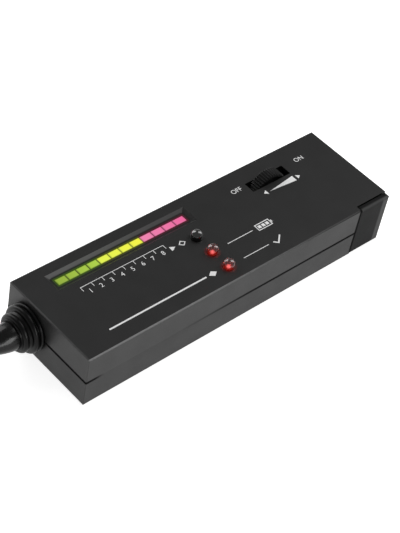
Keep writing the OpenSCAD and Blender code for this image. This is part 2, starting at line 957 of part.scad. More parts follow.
// Block battery with a small and a large snap stud
module battery() {
    color("#7c8086")
        union() {
            along_battery(batt_x1)
                linear_extrude(batt_l)
                    rounded_rect(batt_h, batt_w, batt_edge_r);
            along_battery(batt_x0) {
                translate([0, -stud_pitch / 2, -cut])
                    cylinder(r = stud_small_r, h = stud_l + cut);
                translate([0, stud_pitch / 2, -cut])
                    cylinder(r = stud_large_r, h = stud_l + cut);
            }
        }
}

// Snap connector pushed on the battery's studs
module battery_snap() {
    color("#1c1c1c")
        along_battery(batt_x0 - loose)
            difference() {
                linear_extrude(snap_t)
                    rounded_rect(batt_h - 2 * snap_margin_h, batt_w - 2 * snap_margin_w, batt_edge_r);
                translate([0, -stud_pitch / 2, -cut])
                    cylinder(r = stud_small_r + loose, h = stud_l + cut);
                translate([0, stud_pitch / 2, -cut])
                    cylinder(r = stud_large_r + loose, h = stud_l + cut);
            }
}

// Length of the vector v cut to one
function unit(v) = v / norm(v);

// Direction of the path at its point i
function heading(path, i) = unit(path[min(i + 1, len(path) - 1)] - path[max(i - 1, 0)]);

// Ring of points round the path's point i, square to the path
function ring(path, i, r, sides, side_axis) =
    let (
        t = heading(path, i),
        u = unit(cross(side_axis, t)),
        v = cross(t, u)
    )
    [for (k = [0 : sides - 1]) path[i] + r * (cos(360 * k / sides) * u + sin(360 * k / sides) * v)];

// Round tube along a path whose direction never meets side_axis
module tube(path, r, sides, side_axis) {
    count = len(path);
    points = [for (i = [0 : count - 1]) each ring(path, i, r, sides, side_axis)];
    walls = [
        for (i = [0 : count - 2], k = [0 : sides - 1])
            let (
                a = i * sides + k,
                b = i * sides + (k + 1) % sides
            )
            each [[a, a + sides, b], [b, a + sides, b + sides]]
    ];
    near_end = [for (k = [1 : sides - 2]) [0, k, k + 1]];
    last = (count - 1) * sides;
    far_end = [for (k = [1 : sides - 2]) [last, last + k + 1, last + k]];
    polyhedron(points, concat(walls, near_end, far_end));
}

// Route of one battery lead: off the snap, over the bulkhead and down to the board
function lead_route(y) = let (
        z = parting_z + 2.4,
        x0 = snap_x - fit,
        x2 = board_x1 - 4
    ) [
        [x0, y, z], [x0 - 1, y, z], [bulkhead_x, y, z], [bulkhead_x - 1.4, y, z - 0.3],
        [x2 + 1, y, z - 1.2], [x2, y, z - 2.6], [x2, y, board_top + fit]
    ];

module red_lead() {
    color("#b02318")
        tube(lead_route(batt_mid_y + lead_spread), lead_r, 8, [0, 1, 0]);
}

module black_lead() {
    color("#151515")
        tube(lead_route(batt_mid_y - lead_spread), lead_r, 8, [0, 1, 0]);
}

// Ribbed rubber boot, gripped by both shells in the groove behind its flange
module probe_boot() {
    groove_r = boot_hole_r - loose;
    back_z = -wall - loose;
    rim_z = loose + boot_rim_r;
    core = [for (i = [0 : 1]) [boot_r - rib_r - rib_drops[i], rib_z0 + i * rib_pitch]];
    color("#121212")
        along_probe()
            rotate_extrude()
                difference() {
                    union() {
                        polygon([
                            [0, back_z - boot_flange_t], [boot_flange_r, back_z - boot_flange_t],
                            [boot_flange_r, back_z], [groove_r, back_z],
                            [groove_r, loose], [boot_r - boot_rim_r, loose],
                            [boot_r - boot_rim_r, rim_z + boot_rim_r], each core,
                            [probe_r + boot_mouth_t, boot_end_z], [0, boot_end_z]
                        ]);
                        translate([boot_r - boot_rim_r, rim_z])
                            circle(boot_rim_r);
                        for (p = core)
                            translate(p)
                                circle(rib_r);
                    }
                    translate([-cut, -body_h])
                        square([probe_r + fit + cut, 2 * body_h]);
                }
}

// Radius of the probe at the distance z from the end face
function probe_radius(z) = let (s = min(max((z - shoulder_z) / shoulder_l, 0), 1))
    z < shoulder_z + shoulder_l
        ? neck_r + (probe_r - neck_r) * (1 + cos(180 * s)) / 2
        : neck_r + (nose_r - neck_r) * (z - shoulder_z - shoulder_l) / (nose_z - shoulder_z - shoulder_l);

// Tapered hollow probe with a shoulder in front of the boot
module probe_barrel() {
    curve_steps = 14;
    curve = [for (i = [0 : curve_steps]) shoulder_z + shoulder_l * i / curve_steps];
    color("#191919")
        along_probe()
            rotate_extrude()
                polygon([
                    [lead_bore_r, probe_tail_z], [probe_r, probe_tail_z],
                    for (z = curve) [probe_radius(z), z],
                    [nose_r, nose_z], [chamber_r, nose_z],
                    [chamber_r, spring_seat_z], [lead_bore_r, spring_seat_z]
                ]);
}

// Metal collar pressed into the probe's front end, which guides the tip
module tip_collar() {
    color("#c9cacc")
        along_probe()
            rotate_extrude()
                polygon([
                    [tip_r + tip_gap, tip_stop_z], [collar_back_r, tip_stop_z],
                    [collar_back_r, nose_z + fit], [nose_r - collar_step, nose_z + fit],
                    [nose_r - collar_step, nose_z + collar_l / 3], [collar_front_r, nose_z + collar_l],
                    [tip_r + tip_gap, nose_z + collar_l]
                ]);
}

// Pointed metal tip with a stop flange and a tail inside the spring
module probe_tip() {
    end_z = nose_z + collar_l + tip_l;
    flange_z = tip_stop_z - fit;
    color("#b87a45")
        along_probe()
            rotate_extrude()
                polygon([
                    [0, tip_tail_z], [tip_tail_r, tip_tail_z], [tip_tail_r, flange_z - tip_flange_t],
                    [tip_flange_r, flange_z - tip_flange_t], [tip_flange_r, flange_z],
                    [tip_r, flange_z], [tip_r, end_z - tip_cone_l], [tip_point_r, end_z], [0, end_z]
                ]);
}

// Points of the spring's wire, with one turn after the other at a steady pitch
function spring_path() = [
    for (i = [0 : spring_turns * spring_steps])
        let (a = 360 * i / spring_steps)
        [
            spring_r * cos(a), spring_r * sin(a),
            spring_z0 + (spring_z1 - spring_z0) * i / (spring_turns * spring_steps)
        ]
];

// Return spring of the tip
module tip_spring() {
    path = spring_path();
    turn_gaps = [
        for (i = [0 : len(path) - 1 - spring_steps])
            norm(path[i + spring_steps] - path[i]) - 2 * spring_wire_r
    ];
    echo(str("least gap between turns of the tip spring: ", min(turn_gaps)));
    color("#d3d4d6")
        along_probe()
            tube(path, spring_wire_r, 6, [0, 0, 1]);
}

// Two leads from the board through the probe to the back of the tip
module probe_leads() {
    spread = lead_r + loose + fit;
    x0 = board_x0 + 3;
    color("#a8a090")
        for (sy = [-1, 1]) {
            y = probe_y + sy * spread;
            tube([
                [x0, y, board_top + fit], [x0, y, board_top + 1],
                [x0 - 1.2, y, (board_top + fit + probe_z) / 2 + 0.6], [x0 - 2.8, y, probe_z],
                [x0 - 5, y, probe_z], [x_front, y, probe_z], [x_front - lead_end_z, y, probe_z]
            ], lead_r, 8, [0, 1, 0]);
        }
}

top_shell();
bottom_shell();
battery_cap();
case_screws();
circuit_board();
board_screws();
bar_holder();
green_bar_lamps();
yellow_bar_lamps();
red_bar_lamps();
verdict_lamp();
battery_lamp();
ready_lamp();
lamp_spacers();
volume_wheel();
wheel_screw();
wheel_spindle();
potentiometer();
driver_chips();
capacitors();
trimmers();
buzzer();
battery();
battery_snap();
red_lead();
black_lead();
probe_boot();
probe_barrel();
tip_collar();
probe_tip();
tip_spring();
probe_leads();
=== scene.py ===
"""Looks of a handheld gem tester, dressed over its packed construction.

Sizes in the classes are millimetres in the part's own frame: X runs along the case towards the
battery cap, Y to the back and Z up. They become metres where a mesh is made.
"""

import logging
import math
from dataclasses import dataclass, replace
from enum import Enum
from typing import Any, Iterable, Optional, Sequence, Union

import bmesh
import bpy
from mathutils import Matrix, Quaternion, Vector


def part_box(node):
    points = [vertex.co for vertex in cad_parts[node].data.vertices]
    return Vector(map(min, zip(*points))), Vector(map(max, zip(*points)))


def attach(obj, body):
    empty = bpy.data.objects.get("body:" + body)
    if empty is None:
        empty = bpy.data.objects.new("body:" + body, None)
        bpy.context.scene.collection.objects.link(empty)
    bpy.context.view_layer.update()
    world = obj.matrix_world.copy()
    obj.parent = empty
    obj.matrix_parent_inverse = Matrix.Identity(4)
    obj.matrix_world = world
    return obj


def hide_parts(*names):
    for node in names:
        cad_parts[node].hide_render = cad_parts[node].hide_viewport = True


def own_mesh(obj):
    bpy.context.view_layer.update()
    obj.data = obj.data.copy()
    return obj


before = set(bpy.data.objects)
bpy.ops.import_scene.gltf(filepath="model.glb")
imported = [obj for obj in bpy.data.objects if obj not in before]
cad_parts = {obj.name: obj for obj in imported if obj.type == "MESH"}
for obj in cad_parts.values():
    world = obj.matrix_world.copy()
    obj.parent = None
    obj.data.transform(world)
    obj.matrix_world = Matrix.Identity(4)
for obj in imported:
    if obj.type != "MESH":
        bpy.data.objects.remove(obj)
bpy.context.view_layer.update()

LOG = logging.getLogger("gem_tester")
MM = 0.001
TOUCH = 1e-7

Colour = tuple[float, float, float]
Corner = tuple[float, float, float]
Point = tuple[float, float]
Number = Union[int, float]
Key = Union[int, str]
Term = Union["ShaderValue", int, float]

BLACK: Colour = (0.0, 0.0, 0.0)


class Body(Enum):
    """Bodies of the part that a piece can ride on."""

    CASE = "case"
    WHEEL = "wheel"
    CAP = "cap"
    TIP = "tip"


def screen(red: int, green: int, blue: int) -> Colour:
    """Turn an 8-bit screen colour into a linear one.

    Args:
        red: Red from 0 to 255.
        green: Green from 0 to 255.
        blue: Blue from 0 to 255.

    Returns:
        The linear colour.
    """
    shares = (channel / 255 for channel in (red, green, blue))
    return tuple(s / 12.92 if s <= 0.04045 else ((s + 0.055) / 1.055) ** 2.4 for s in shares)


def grey(level: int) -> Colour:
    """Linear colour of an 8-bit neutral grey."""
    return screen(level, level, level)


def times(colour: Colour, share: float) -> Colour:
    """A colour times a share."""
    return tuple(channel * share for channel in colour)


class ShaderValue:
    """A shader output that takes part in Python expressions."""

    def __init__(self, graph: "ShaderGraph", socket: bpy.types.NodeSocket) -> None:
        """Wrap one output socket of the graph."""
        self.graph = graph
        self.socket = socket

    def _math(self, operation: str, *terms: Term) -> "ShaderValue":
        """Result of a Math node on its terms, in order."""
        return self.graph.value("ShaderNodeMath", dict(enumerate(terms)), operation=operation)

    def __add__(self, other: Term) -> "ShaderValue":
        """Sum."""
        return self._math("ADD", self, other)

    def __radd__(self, other: Number) -> "ShaderValue":
        """Sum with a number on the left."""
        return self._math("ADD", other, self)

    def __sub__(self, other: Term) -> "ShaderValue":
        """Difference."""
        return self._math("SUBTRACT", self, other)

    def __rsub__(self, other: Number) -> "ShaderValue":
        """Difference from a number on the left."""
        return self._math("SUBTRACT", other, self)

    def __mul__(self, other: Term) -> "ShaderValue":
        """Product."""
        return self._math("MULTIPLY", self, other)

    def __rmul__(self, other: Number) -> "ShaderValue":
        """Product with a number on the left."""
        return self._math("MULTIPLY", other, self)

    def __truediv__(self, other: Term) -> "ShaderValue":
        """Quotient."""
        return self._math("DIVIDE", self, other)

    def __rtruediv__(self, other: Number) -> "ShaderValue":
        """Quotient of a number on the left."""
        return self._math("DIVIDE", other, self)

    def __pow__(self, other: Number) -> "ShaderValue":
        """Power."""
        return self._math("POWER", self, other)

    def __abs__(self) -> "ShaderValue":
        """Size without the sign."""
        return self._math("ABSOLUTE", self)

    def at_least(self, other: Term) -> "ShaderValue":
        """The larger of the two."""
        return self._math("MAXIMUM", self, other)

    def at_most(self, other: Term) -> "ShaderValue":
        """The smaller of the two."""
        return self._math("MINIMUM", self, other)

    def repeat(self, length: Number) -> "ShaderValue":
        """Saw that rises from 0 to the length and starts again."""
        return self._math("FLOORED_MODULO", self, length)

    def root(self) -> "ShaderValue":
        """Square root."""
        return self._math("SQRT", self)

    def swing(self, amount: Number) -> "ShaderValue":
        """A field from 0 to 1 as a swing of that amount about nought."""
        return (self - 0.5) * amount

    def length_with(self, other: "ShaderValue") -> "ShaderValue":
        """Length of a way that goes this far and, square to it, the other far."""
        return (self * self + other * other).root()

    def ease(self, low: Number, high: Number) -> "ShaderValue":
        """Smooth step.

        Args:
            low: Value at which the result is 0.
            high: Value at which the result is 1.

        Returns:
            The step, clamped from 0 to 1.
        """
        ends = {"Value": self, "From Min": low, "From Max": high}
        return self.graph.value("ShaderNodeMapRange", ends, interpolation_type="SMOOTHSTEP")


Feed = Union[ShaderValue, Number, Sequence[Number]]


def pick(sockets: Sequence[bpy.types.NodeSocket], key: Key) -> bpy.types.NodeSocket:
    """Find a node's socket.

    Args:
        sockets: The node's inputs or outputs.
        key: The socket's number, identifier or name.

    Returns:
        The first socket that fits.
    """
    if isinstance(key, int):
        return sockets[key]
    return next(s for s in sockets if key in (s.identifier, s.name))


class NodeGraph:
    """A tree of shader, world or geometry nodes."""

    def __init__(self, tree: bpy.types.NodeTree) -> None:
        """Take the tree that the nodes go into."""
        self.tree = tree

    def node(self, kind: str, sockets: Optional[dict[Key, Any]] = None, **settings: Any) -> bpy.types.Node:
        """Add any node.

        Args:
            kind: The node's type.
            sockets: Values or links of its inputs, by number, identifier or name.
            settings: Attributes that are set first; "stops" fills a colour ramp.

        Returns:
            The node.
        """
        made = self.tree.nodes.new(kind)
        for name, setting in settings.items():
            if name == "stops":
                self._fill_ramp(made.color_ramp, setting)
            else:
                setattr(made, name, setting)
        for key, value in (sockets or {}).items():
            self.feed(made, key, value)
        return made

    @staticmethod
    def _fill_ramp(ramp: bpy.types.ColorRamp, stops: Sequence[tuple[float, Colour]]) -> None:
        """Replace a ramp's stops.

        Args:
            ramp: The ramp.
            stops: Places from 0 to 1 with their colours.
        """
        while len(ramp.elements) < len(stops):
            ramp.elements.new(1.0)
        for element, (place, colour) in zip(ramp.elements, stops):
            element.position = place
            element.color = (*colour, 1.0)

    def feed(self, node: bpy.types.Node, key: Key, value: Any) -> None:
        """Set or link one input.

        Args:
            node: The node.
            key: The input's number, identifier or name.
            value: A shader value, a socket, a node for its first output, a number or a tuple.
        """
        socket = pick(node.inputs, key)
        if isinstance(value, ShaderValue):
            value = value.socket
        elif isinstance(value, bpy.types.Node):
            value = value.outputs[0]
        if isinstance(value, bpy.types.NodeSocket):
            self.tree.links.new(value, socket)
        elif socket.type == "RGBA":
            socket.default_value = (*value, 1.0)
        else:
            socket.default_value = value


class ShaderGraph(NodeGraph):
    """Node tree of one material around a Principled surface."""

    def __init__(self, name: str) -> None:
        """Start an empty material.

        Args:
            name: The material's name.
        """
        self.material = bpy.data.materials.new(name)
        self.material.use_nodes = True
        super().__init__(self.material.node_tree)
        self.tree.nodes.clear()
        self.principled = self.node("ShaderNodeBsdfPrincipled")
        self.output = self.node("ShaderNodeOutputMaterial", {"Surface": self.principled})

    def surface(self, **sockets: Feed) -> None:
        """Feed the Principled surface; underscores in a name stand for spaces."""
        for name, value in sockets.items():
            self.feed(self.principled, name.replace("_", " "), value)

    def value(self, kind: str, sockets: dict[Key, Any], output: Key = 0, **settings: Any) -> ShaderValue:
        """Add a node for one of its outputs.

        Args:
            kind: The node's type.
            sockets: Values or links of its inputs.
            output: The output's number, identifier or name.
            settings: Attributes that are set first.

        Returns:
            The output.
        """
        return ShaderValue(self, pick(self.node(kind, sockets, **settings).outputs, output))

    def _coordinates(self) -> bpy.types.NodeSocket:
        """Object coordinates, which are the part's own frame in metres."""
        return self.node("ShaderNodeTexCoord").outputs["Object"]

    def place(self) -> tuple[ShaderValue, ShaderValue, ShaderValue]:
        """Place in the part's frame.

        Returns:
            X, Y and Z in millimetres.
        """
        sockets = {0: self._coordinates(), "Scale": 1 / MM}
        scaled = self.node("ShaderNodeVectorMath", sockets, operation="SCALE")
        split = self.node("ShaderNodeSeparateXYZ", {0: scaled})
        return tuple(ShaderValue(self, socket) for socket in split.outputs)

    def noise(self, size: float, detail: float = 3.0, stretch: Sequence[float] = (1, 1, 1)) -> ShaderValue:
        """Soft random field.

        Args:
            size: Size of one blot in millimetres.
            detail: How many finer layers it has.
            stretch: How much finer it is along X, Y and Z.

        Returns:
            The field, from 0 to 1 with a mean of about a half.
        """
        mapped = self.node("ShaderNodeMapping", {"Vector": self._coordinates(), "Scale": tuple(stretch)})
        sockets = {"Vector": mapped, "Scale": 1 / (size * MM), "Detail": detail}
        return self.value("ShaderNodeTexNoise", sockets)

    def mix(self, share: Feed, first: Any, second: Any) -> ShaderValue:
        """Blend two colours.

        Args:
            share: 0 for the first colour, 1 for the second.
            first: Colour or shader value.
            second: Colour or shader value.

        Returns:
            The blended colour.
        """
        sockets = {"Factor_Float": share, "A_Color": first, "B_Color": second}
        return self.value("ShaderNodeMix", sockets, "Result_Color", data_type="RGBA")

    def ramp(self, share: ShaderValue, stops: Sequence[tuple[float, Colour]]) -> ShaderValue:
        """Colour along a ramp.

        Args:
            share: Place on the ramp from 0 to 1.
            stops: Places with their colours.

        Returns:
            The colour.
        """
        return self.value("ShaderNodeValToRGB", {0: share}, stops=stops)

    def bump(self, height: ShaderValue, depth: float, strength: float = 1.0) -> ShaderValue:
        """Normal of a relief.

        Args:
            height: Field from 0 to 1.
            depth: Height of the relief in millimetres.
            strength: Share of the relief that shows.

        Returns:
            The normal.
        """
        return self.value("ShaderNodeBump", {"Strength": strength, "Distance": depth * MM, "Height": height})


@dataclass(frozen=True)
class Finish:
    """A finish of one colour and gloss, which its kinds below give their grain."""

    name: str
    colour: Colour
    roughness: float

    def material(self) -> bpy.types.Material:
        """Give the material, made at its first use.

        Returns:
            The material.
        """
        made = bpy.data.materials.get(self.name)
        if made is None:
            graph = ShaderGraph(self.name)
            self.shade(graph)
            made = graph.material
        return made

    def shade(self, graph: ShaderGraph) -> None:
        """Fill the material's nodes; each kind of finish has its own."""
        raise NotImplementedError

    def tinted(self, share: float) -> Colour:
        """The finish's colour times a share."""
        return times(self.colour, share)


@dataclass(frozen=True)
class EdgeHighlight:
    """Painted highlight along the edges of a boxy piece: its long top edges, and its end and upright ones
    less.
    """

    low: Corner
    high: Corner
    width: float
    colour: Colour
    fade: Point = (2000.0, 1000.0)
    upright: float = 0.0
    ends: float = 0.0
    core: float = 0.2
    patch: float = 4.0
    patchiness: float = 0.5

    def over(self, graph: ShaderGraph, colour: ShaderValue) -> ShaderValue:
        """Paint a highlight colour along the edges.

        Args:
            graph: The material's graph.
            colour: Colour of the flat faces.

        Returns:
            The colour with its painted edge highlights.
        """
        x, y, z = graph.place()
        to_end = (x - self.low[0]).at_most(self.high[0] - x)
        to_side = (y - self.low[1]).at_most(self.high[1] - y)
        to_top = self.high[2] - z
        core = self.width * self.core
        patchy = graph.noise(self.patch).swing(self.patchiness) + 1.0
        along = to_side.at_least(to_top).ease(self.width, core) * x.ease(*self.fade)
        upright = to_end.at_least(to_side).ease(self.width, 0) * self.upright
        ends = to_end.at_least(to_top).ease(self.width, core) * self.ends
        # painted highlight along the edges, fading along X
        return graph.mix(along.at_least(upright).at_least(ends) * patchy, colour, self.colour)


@dataclass(frozen=True)
class SeamShade:
    """Painted shade, with some dirt, in the joints of the case: along its parting line and by its cap, and a
    painted shadow round its boot.
    """

    height: float
    half: float
    front: float
    near: float
    end: float
    boot: Point
    boot_radius: float
    boot_reach: float = 3.2
    boot_share: float = 0.15
    boot_fall: float = 1.5
    corner_reach: float = 9.0
    open_from: float = -40.0
    open_to: float = 15.0
    end_reach: float = 0.8
    side_skin: float = 0.8
    front_skin: Point = (0.5, 0.3)

    def share(self, graph: ShaderGraph) -> ShaderValue:
        """Work out where the shade lies.

        Args:
            graph: The material's graph.

        Returns:
            One in the joints, nought away from them.
        """
        x, y, z = graph.place()
        # painted shade in the parting line, opening towards the cap
        line = abs(z - self.height).ease(self.half * 1.5, self.half * 0.6)
        corner = x.ease(self.front + self.corner_reach, self.front + self.corner_reach * 0.3)
        opened = x.ease(self.open_from, self.open_to).at_least(corner)
        on_side = y.ease(self.near + self.side_skin, self.near + self.side_skin / 2)
        beside_cap = x.ease(self.end - self.end_reach, self.end - self.end_reach * 0.4) * on_side
        from_boot = (y - self.boot[0]).length_with(z - self.boot[1]) - self.boot_radius
        on_front = x.ease(*(self.front + skin for skin in self.front_skin))
        # painted shadow of the boot on the end face
        round_boot = from_boot.ease(self.boot_reach, 0) ** self.boot_fall * on_front
        return (line * opened).at_least(beside_cap).at_least(round_boot * self.boot_share)


@dataclass(frozen=True)
class SparkPlastic(Finish):
    """Moulded plastic with the fine spark texture of its tool, with painted shade that darkens it to black
    at the far end of its fall.
    """

    grain: float = 0.32
    grain_depth: float = 0.035
    blot: float = 9.0
    drift: float = 0.12
    gloss: float = 0.5
    edge_highlight: Optional[EdgeHighlight] = None
    seam: Optional[SeamShade] = None
    fall: Optional[Point] = None
    blot_share: float = 0.7
    blot_sheen: float = 0.12
    grain_sheen: float = 0.1

    def shade(self, graph: ShaderGraph) -> None:
        """Drift the colour a little, roughen the surface with the spark grain and paint shade and dirt into
        the joints.

        Args:
            graph: The material's graph.
        """
        blots = graph.noise(self.blot)
        grain = graph.noise(self.grain, 4.0)
        colour = self.skin(graph, blots * self.blot_share + grain * (1 - self.blot_share))
        roughness = self.roughness + blots.swing(self.blot_sheen) + grain.swing(self.grain_sheen)
        if self.seam is not None:
            # painted shade and dirt in the joints
            joint_shade = self.seam.share(graph)
            colour = graph.mix(joint_shade, colour, BLACK)
            roughness = roughness + joint_shade * (1.0 - self.roughness)
        graph.surface(
            Base_Color=colour,
            Roughness=roughness,
            Specular_IOR_Level=self.gloss,
            Normal=graph.bump(grain, self.grain_depth, 0.5),
        )

    def skin(self, graph: ShaderGraph, drift: ShaderValue) -> ShaderValue:
        """Colour of the plastic's skin.

        Args:
            graph: The material's graph.
            drift: Field from 0 to 1 that takes the colour from deep to pale.

        Returns:
            The colour, with painted edge highlights where the plastic has them.
        """
        colour = graph.mix(drift, self.tinted(1 - self.drift), self.tinted(1 + self.drift))
        # painted shade: darker towards the far end of the fall along X
        if self.fall is not None:
            colour = graph.mix(graph.place()[0].ease(*self.fall), colour, BLACK)
        return colour if self.edge_highlight is None else self.edge_highlight.over(graph, colour)


@dataclass(frozen=True)
class LampGlow:
    """Painted light of the lamp bar on the walls of its window, and of the lit lamps on the panel, given as
    glow of the plastic.
    """

    middle: Point
    length: float
    width: float
    top: float
    lamps: tuple[Point, ...]
    reach: float = 1.5
    reach_fall: float = 1.4
    colours: tuple[Colour, Colour, Colour] = (screen(56, 84, 6), screen(74, 80, 6), screen(80, 16, 34))
    fins: tuple[Colour, Colour, Colour] = (screen(66, 84, 20), screen(120, 126, 30), screen(126, 44, 80))
    fin_reach: float = 0.05
    lamp_radius: float = 2.5
    lamp_reach: float = 1.6
    lamp_colour: Colour = screen(66, 8, 6)
    rim: float = 1.2
    rim_blend: float = 0.4

    def bar_distance(self, graph: ShaderGraph) -> ShaderValue:
        """Measure from the lamp bar in plan.

        Args:
            graph: The material's graph.

        Returns:
            The distance in millimetres, nought over the bar.
        """
        x, y, _ = graph.place()
        over_x = (abs(x - self.middle[0]) - self.length / 2).at_least(0)
        over_y = (abs(y - self.middle[1]) - self.width / 2).at_least(0)
        return over_x.length_with(over_y)

    def along(self, graph: ShaderGraph) -> ShaderValue:
        """Place along the lamp bar, from 0 at its first lamp to 1 at its last."""
        return (graph.place()[0] - (self.middle[0] - self.length / 2)) / self.length

    def sunk(self, graph: ShaderGraph) -> ShaderValue:
        """One below the panel's top face and nought on it."""
        return graph.place()[2].ease(self.top - 0.02, self.top - 0.15)

    def on_top(self, graph: ShaderGraph) -> ShaderValue:
        """One on the panel's flat top face and nought on the rounded edges below it."""
        return graph.place()[2].ease(self.top - 0.03, self.top - 0.01)

    def behind(self, graph: ShaderGraph) -> ShaderValue:
        """Find the wall behind the lamp bar.

        Args:
            graph: The material's graph.

        Returns:
            One on that wall, up to its mitred ends.
        """
        x, y, _ = graph.place()
        back = y - (self.middle[1] + self.width / 2)
        beyond = abs(x - self.middle[0]) - self.length / 2
        return back.ease(self.rim, self.rim + self.rim_blend) * (back - beyond).ease(-0.1, 0.2)

    def _bands(self, graph: ShaderGraph, colours: Sequence[Colour]) -> ShaderValue:
        """Lay three colours along the lamp bar.

        Args:
            graph: The material's graph.
            colours: One for each colour of its lamps.

        Returns:
            The colour at each place along it.
        """
        green, yellow, pink = colours
        stops = [(0.0, green), (0.31, green), (0.33, yellow), (0.64, yellow), (0.66, pink), (1.0, pink)]
        return graph.ramp(self.along(graph), stops)

    def emission(self, graph: ShaderGraph) -> ShaderValue:
        """Work out the glow's colour.

        Args:
            graph: The material's graph.

        Returns:
            Colour that the plastic glows with as painted lamp light, black away from the lamps.
        """
        distance = self.bar_distance(graph)
        near_bar = distance.ease(self.reach, 0) ** self.reach_fall * self.sunk(graph)
        glow = graph.mix(near_bar, BLACK, self._bands(graph, self.colours))
        glow = graph.mix(distance.ease(self.fin_reach, 0), glow, self._bands(graph, self.fins))
        x, y, _ = graph.place()
        for lamp in self.lamps:
            distance = (x - lamp[0]).length_with(y - lamp[1]) - self.lamp_radius
            # painted red light of each lit lamp on the panel
            glow = graph.mix(distance.ease(self.lamp_reach, 0) ** 2, glow, self.lamp_colour)
        return glow


@dataclass(frozen=True)
class PanelPlastic(SparkPlastic):
    """Spark plastic of the panel, with a painted reflection on the window's far wall and painted light of
    the lamps.
    """

    glow: Optional[LampGlow] = None
    face: Colour = BLACK
    wall: Colour = BLACK
    wall_end_reflection: Colour = BLACK
    wall_reach: float = 6.0
    wall_blend: float = 0.1
    pit_reach: float = 1.9
    pit_core: float = 0.6

    def shade(self, graph: ShaderGraph) -> None:
        """Shade the plastic and add the lamps' painted glow."""
        super().shade(graph)
        # painted light of the lamps, glowing from the plastic
        graph.surface(Emission_Color=self.glow.emission(graph), Emission_Strength=1.0)

    def skin(self, graph: ShaderGraph, drift: ShaderValue) -> ShaderValue:
        """Colour of the skin, with painted shade making the top face deeper than the sides and a painted
        reflection making the window's far wall paler.

        Args:
            graph: The material's graph.
            drift: Field from 0 to 1 that takes the colour from deep to pale.

        Returns:
            The colour, with painted shade, black, in the pit round the lamps.
        """
        side = super().skin(graph, drift)
        sunk = self.glow.sunk(graph)
        distance = self.glow.bar_distance(graph)
        # painted shade: the flat top face darker than the sides
        face = graph.mix(drift, times(self.face, 1 - self.drift), times(self.face, 1 + self.drift))
        in_window = distance.ease(self.wall_reach, self.wall_reach - self.wall_blend)
        panel = graph.mix(self.glow.on_top(graph).at_least(in_window), side, face)
        # painted reflection: the window's far wall paler, fading along the bar
        wall_reflection = graph.mix(self.glow.along(graph).ease(0.0, 1.0), self.wall, self.wall_end_reflection)
        with_wall_reflection = graph.mix(in_window * self.glow.behind(graph) * sunk, panel, wall_reflection)
        # painted shade: black in the pit round the lamp bar
        pit_shade = distance.ease(self.pit_reach, self.pit_reach * self.pit_core) * sunk
        return graph.mix(pit_shade, with_wall_reflection, BLACK)


@dataclass(frozen=True)
class CapPlastic(SparkPlastic):
    """Duller plastic of the cap, with a painted reflection as a pale band along its outer upright edges."""

    mouth: float = 0.0
    mouth_shade: Point = (0.9, 0.4)
    half_width: float = 0.0
    side_skin: Point = (0.9, 0.3)
    reflection_band_from: float = 0.0
    reflection_band_to: float = 0.0
    band: Colour = BLACK

    def skin(self, graph: ShaderGraph, drift: ShaderValue) -> ShaderValue:
        """Colour of the skin, with the painted reflection pale at the outer end.

        Args:
            graph: The material's graph.
            drift: Field from 0 to 1 that takes the colour from deep to pale.

        Returns:
            The colour, with painted shade, black, where the cap's mouth faces the shells.
        """
        plain = super().skin(graph, drift)
        x, y, _ = graph.place()
        outside = abs(y).ease(*(self.half_width - skin for skin in self.side_skin))
        # painted reflection: pale band along the outer upright edges
        with_reflection_band = graph.mix(x.ease(self.reflection_band_from, self.reflection_band_to) * outside, plain, self.band)
        # painted shade: black at the cap's mouth, by the shells
        return graph.mix(x.ease(*(self.mouth + shade for shade in self.mouth_shade)), with_reflection_band, BLACK)


@dataclass(frozen=True)
class BootRubber(Finish):
    """Moulded rubber with patches of bloom."""

    bloom: Colour = (0.006, 0.006, 0.006)
    bloom_size: float = 1.6
    skin_size: float = 0.22
    skin_depth: float = 0.02
    gloss: float = 0.14

    def shade(self, graph: ShaderGraph) -> None:
        """Dust the rubber with bloom and give it a soft skin.

        Args:
            graph: The material's graph.
        """
        bloom = graph.noise(self.bloom_size).ease(0.45, 0.8)
        skin = graph.noise(self.skin_size)
        graph.surface(
            Base_Color=graph.mix(bloom * 0.5, self.colour, self.bloom),
            Roughness=self.roughness + bloom * 0.15 + skin.swing(0.08),
            Specular_IOR_Level=self.gloss,
            Normal=graph.bump(skin, self.skin_depth, 0.4),
        )


@dataclass(frozen=True)
class PolishedPlastic(Finish):
    """Polished plastic with faint handling marks along X."""

    mark: float = 0.5
    mark_stretch: Corner = (0.06, 1.0, 1.0)
    mark_depth: float = 0.004
    smear: float = 6.0
    gloss: float = 0.5
    coat: float = 0.35
    coat_roughness: float = 0.08

    def shade(self, graph: ShaderGraph) -> None:
        """Scatter fine long marks over the polish.

        Args:
            graph: The material's graph.
        """
        marks = graph.noise(self.mark, stretch=self.mark_stretch).ease(0.45, 0.75)
        smears = graph.noise(self.smear, 2.0)
        graph.surface(
            Base_Color=graph.mix(smears, self.tinted(0.85), self.tinted(1.2)),
            Roughness=self.roughness + marks * 0.07 + smears.swing(0.08),
            Specular_IOR_Level=self.gloss,
            Coat_Weight=self.coat,
            Coat_Roughness=self.coat_roughness,
            Normal=graph.bump(marks, self.mark_depth, 0.5),
        )


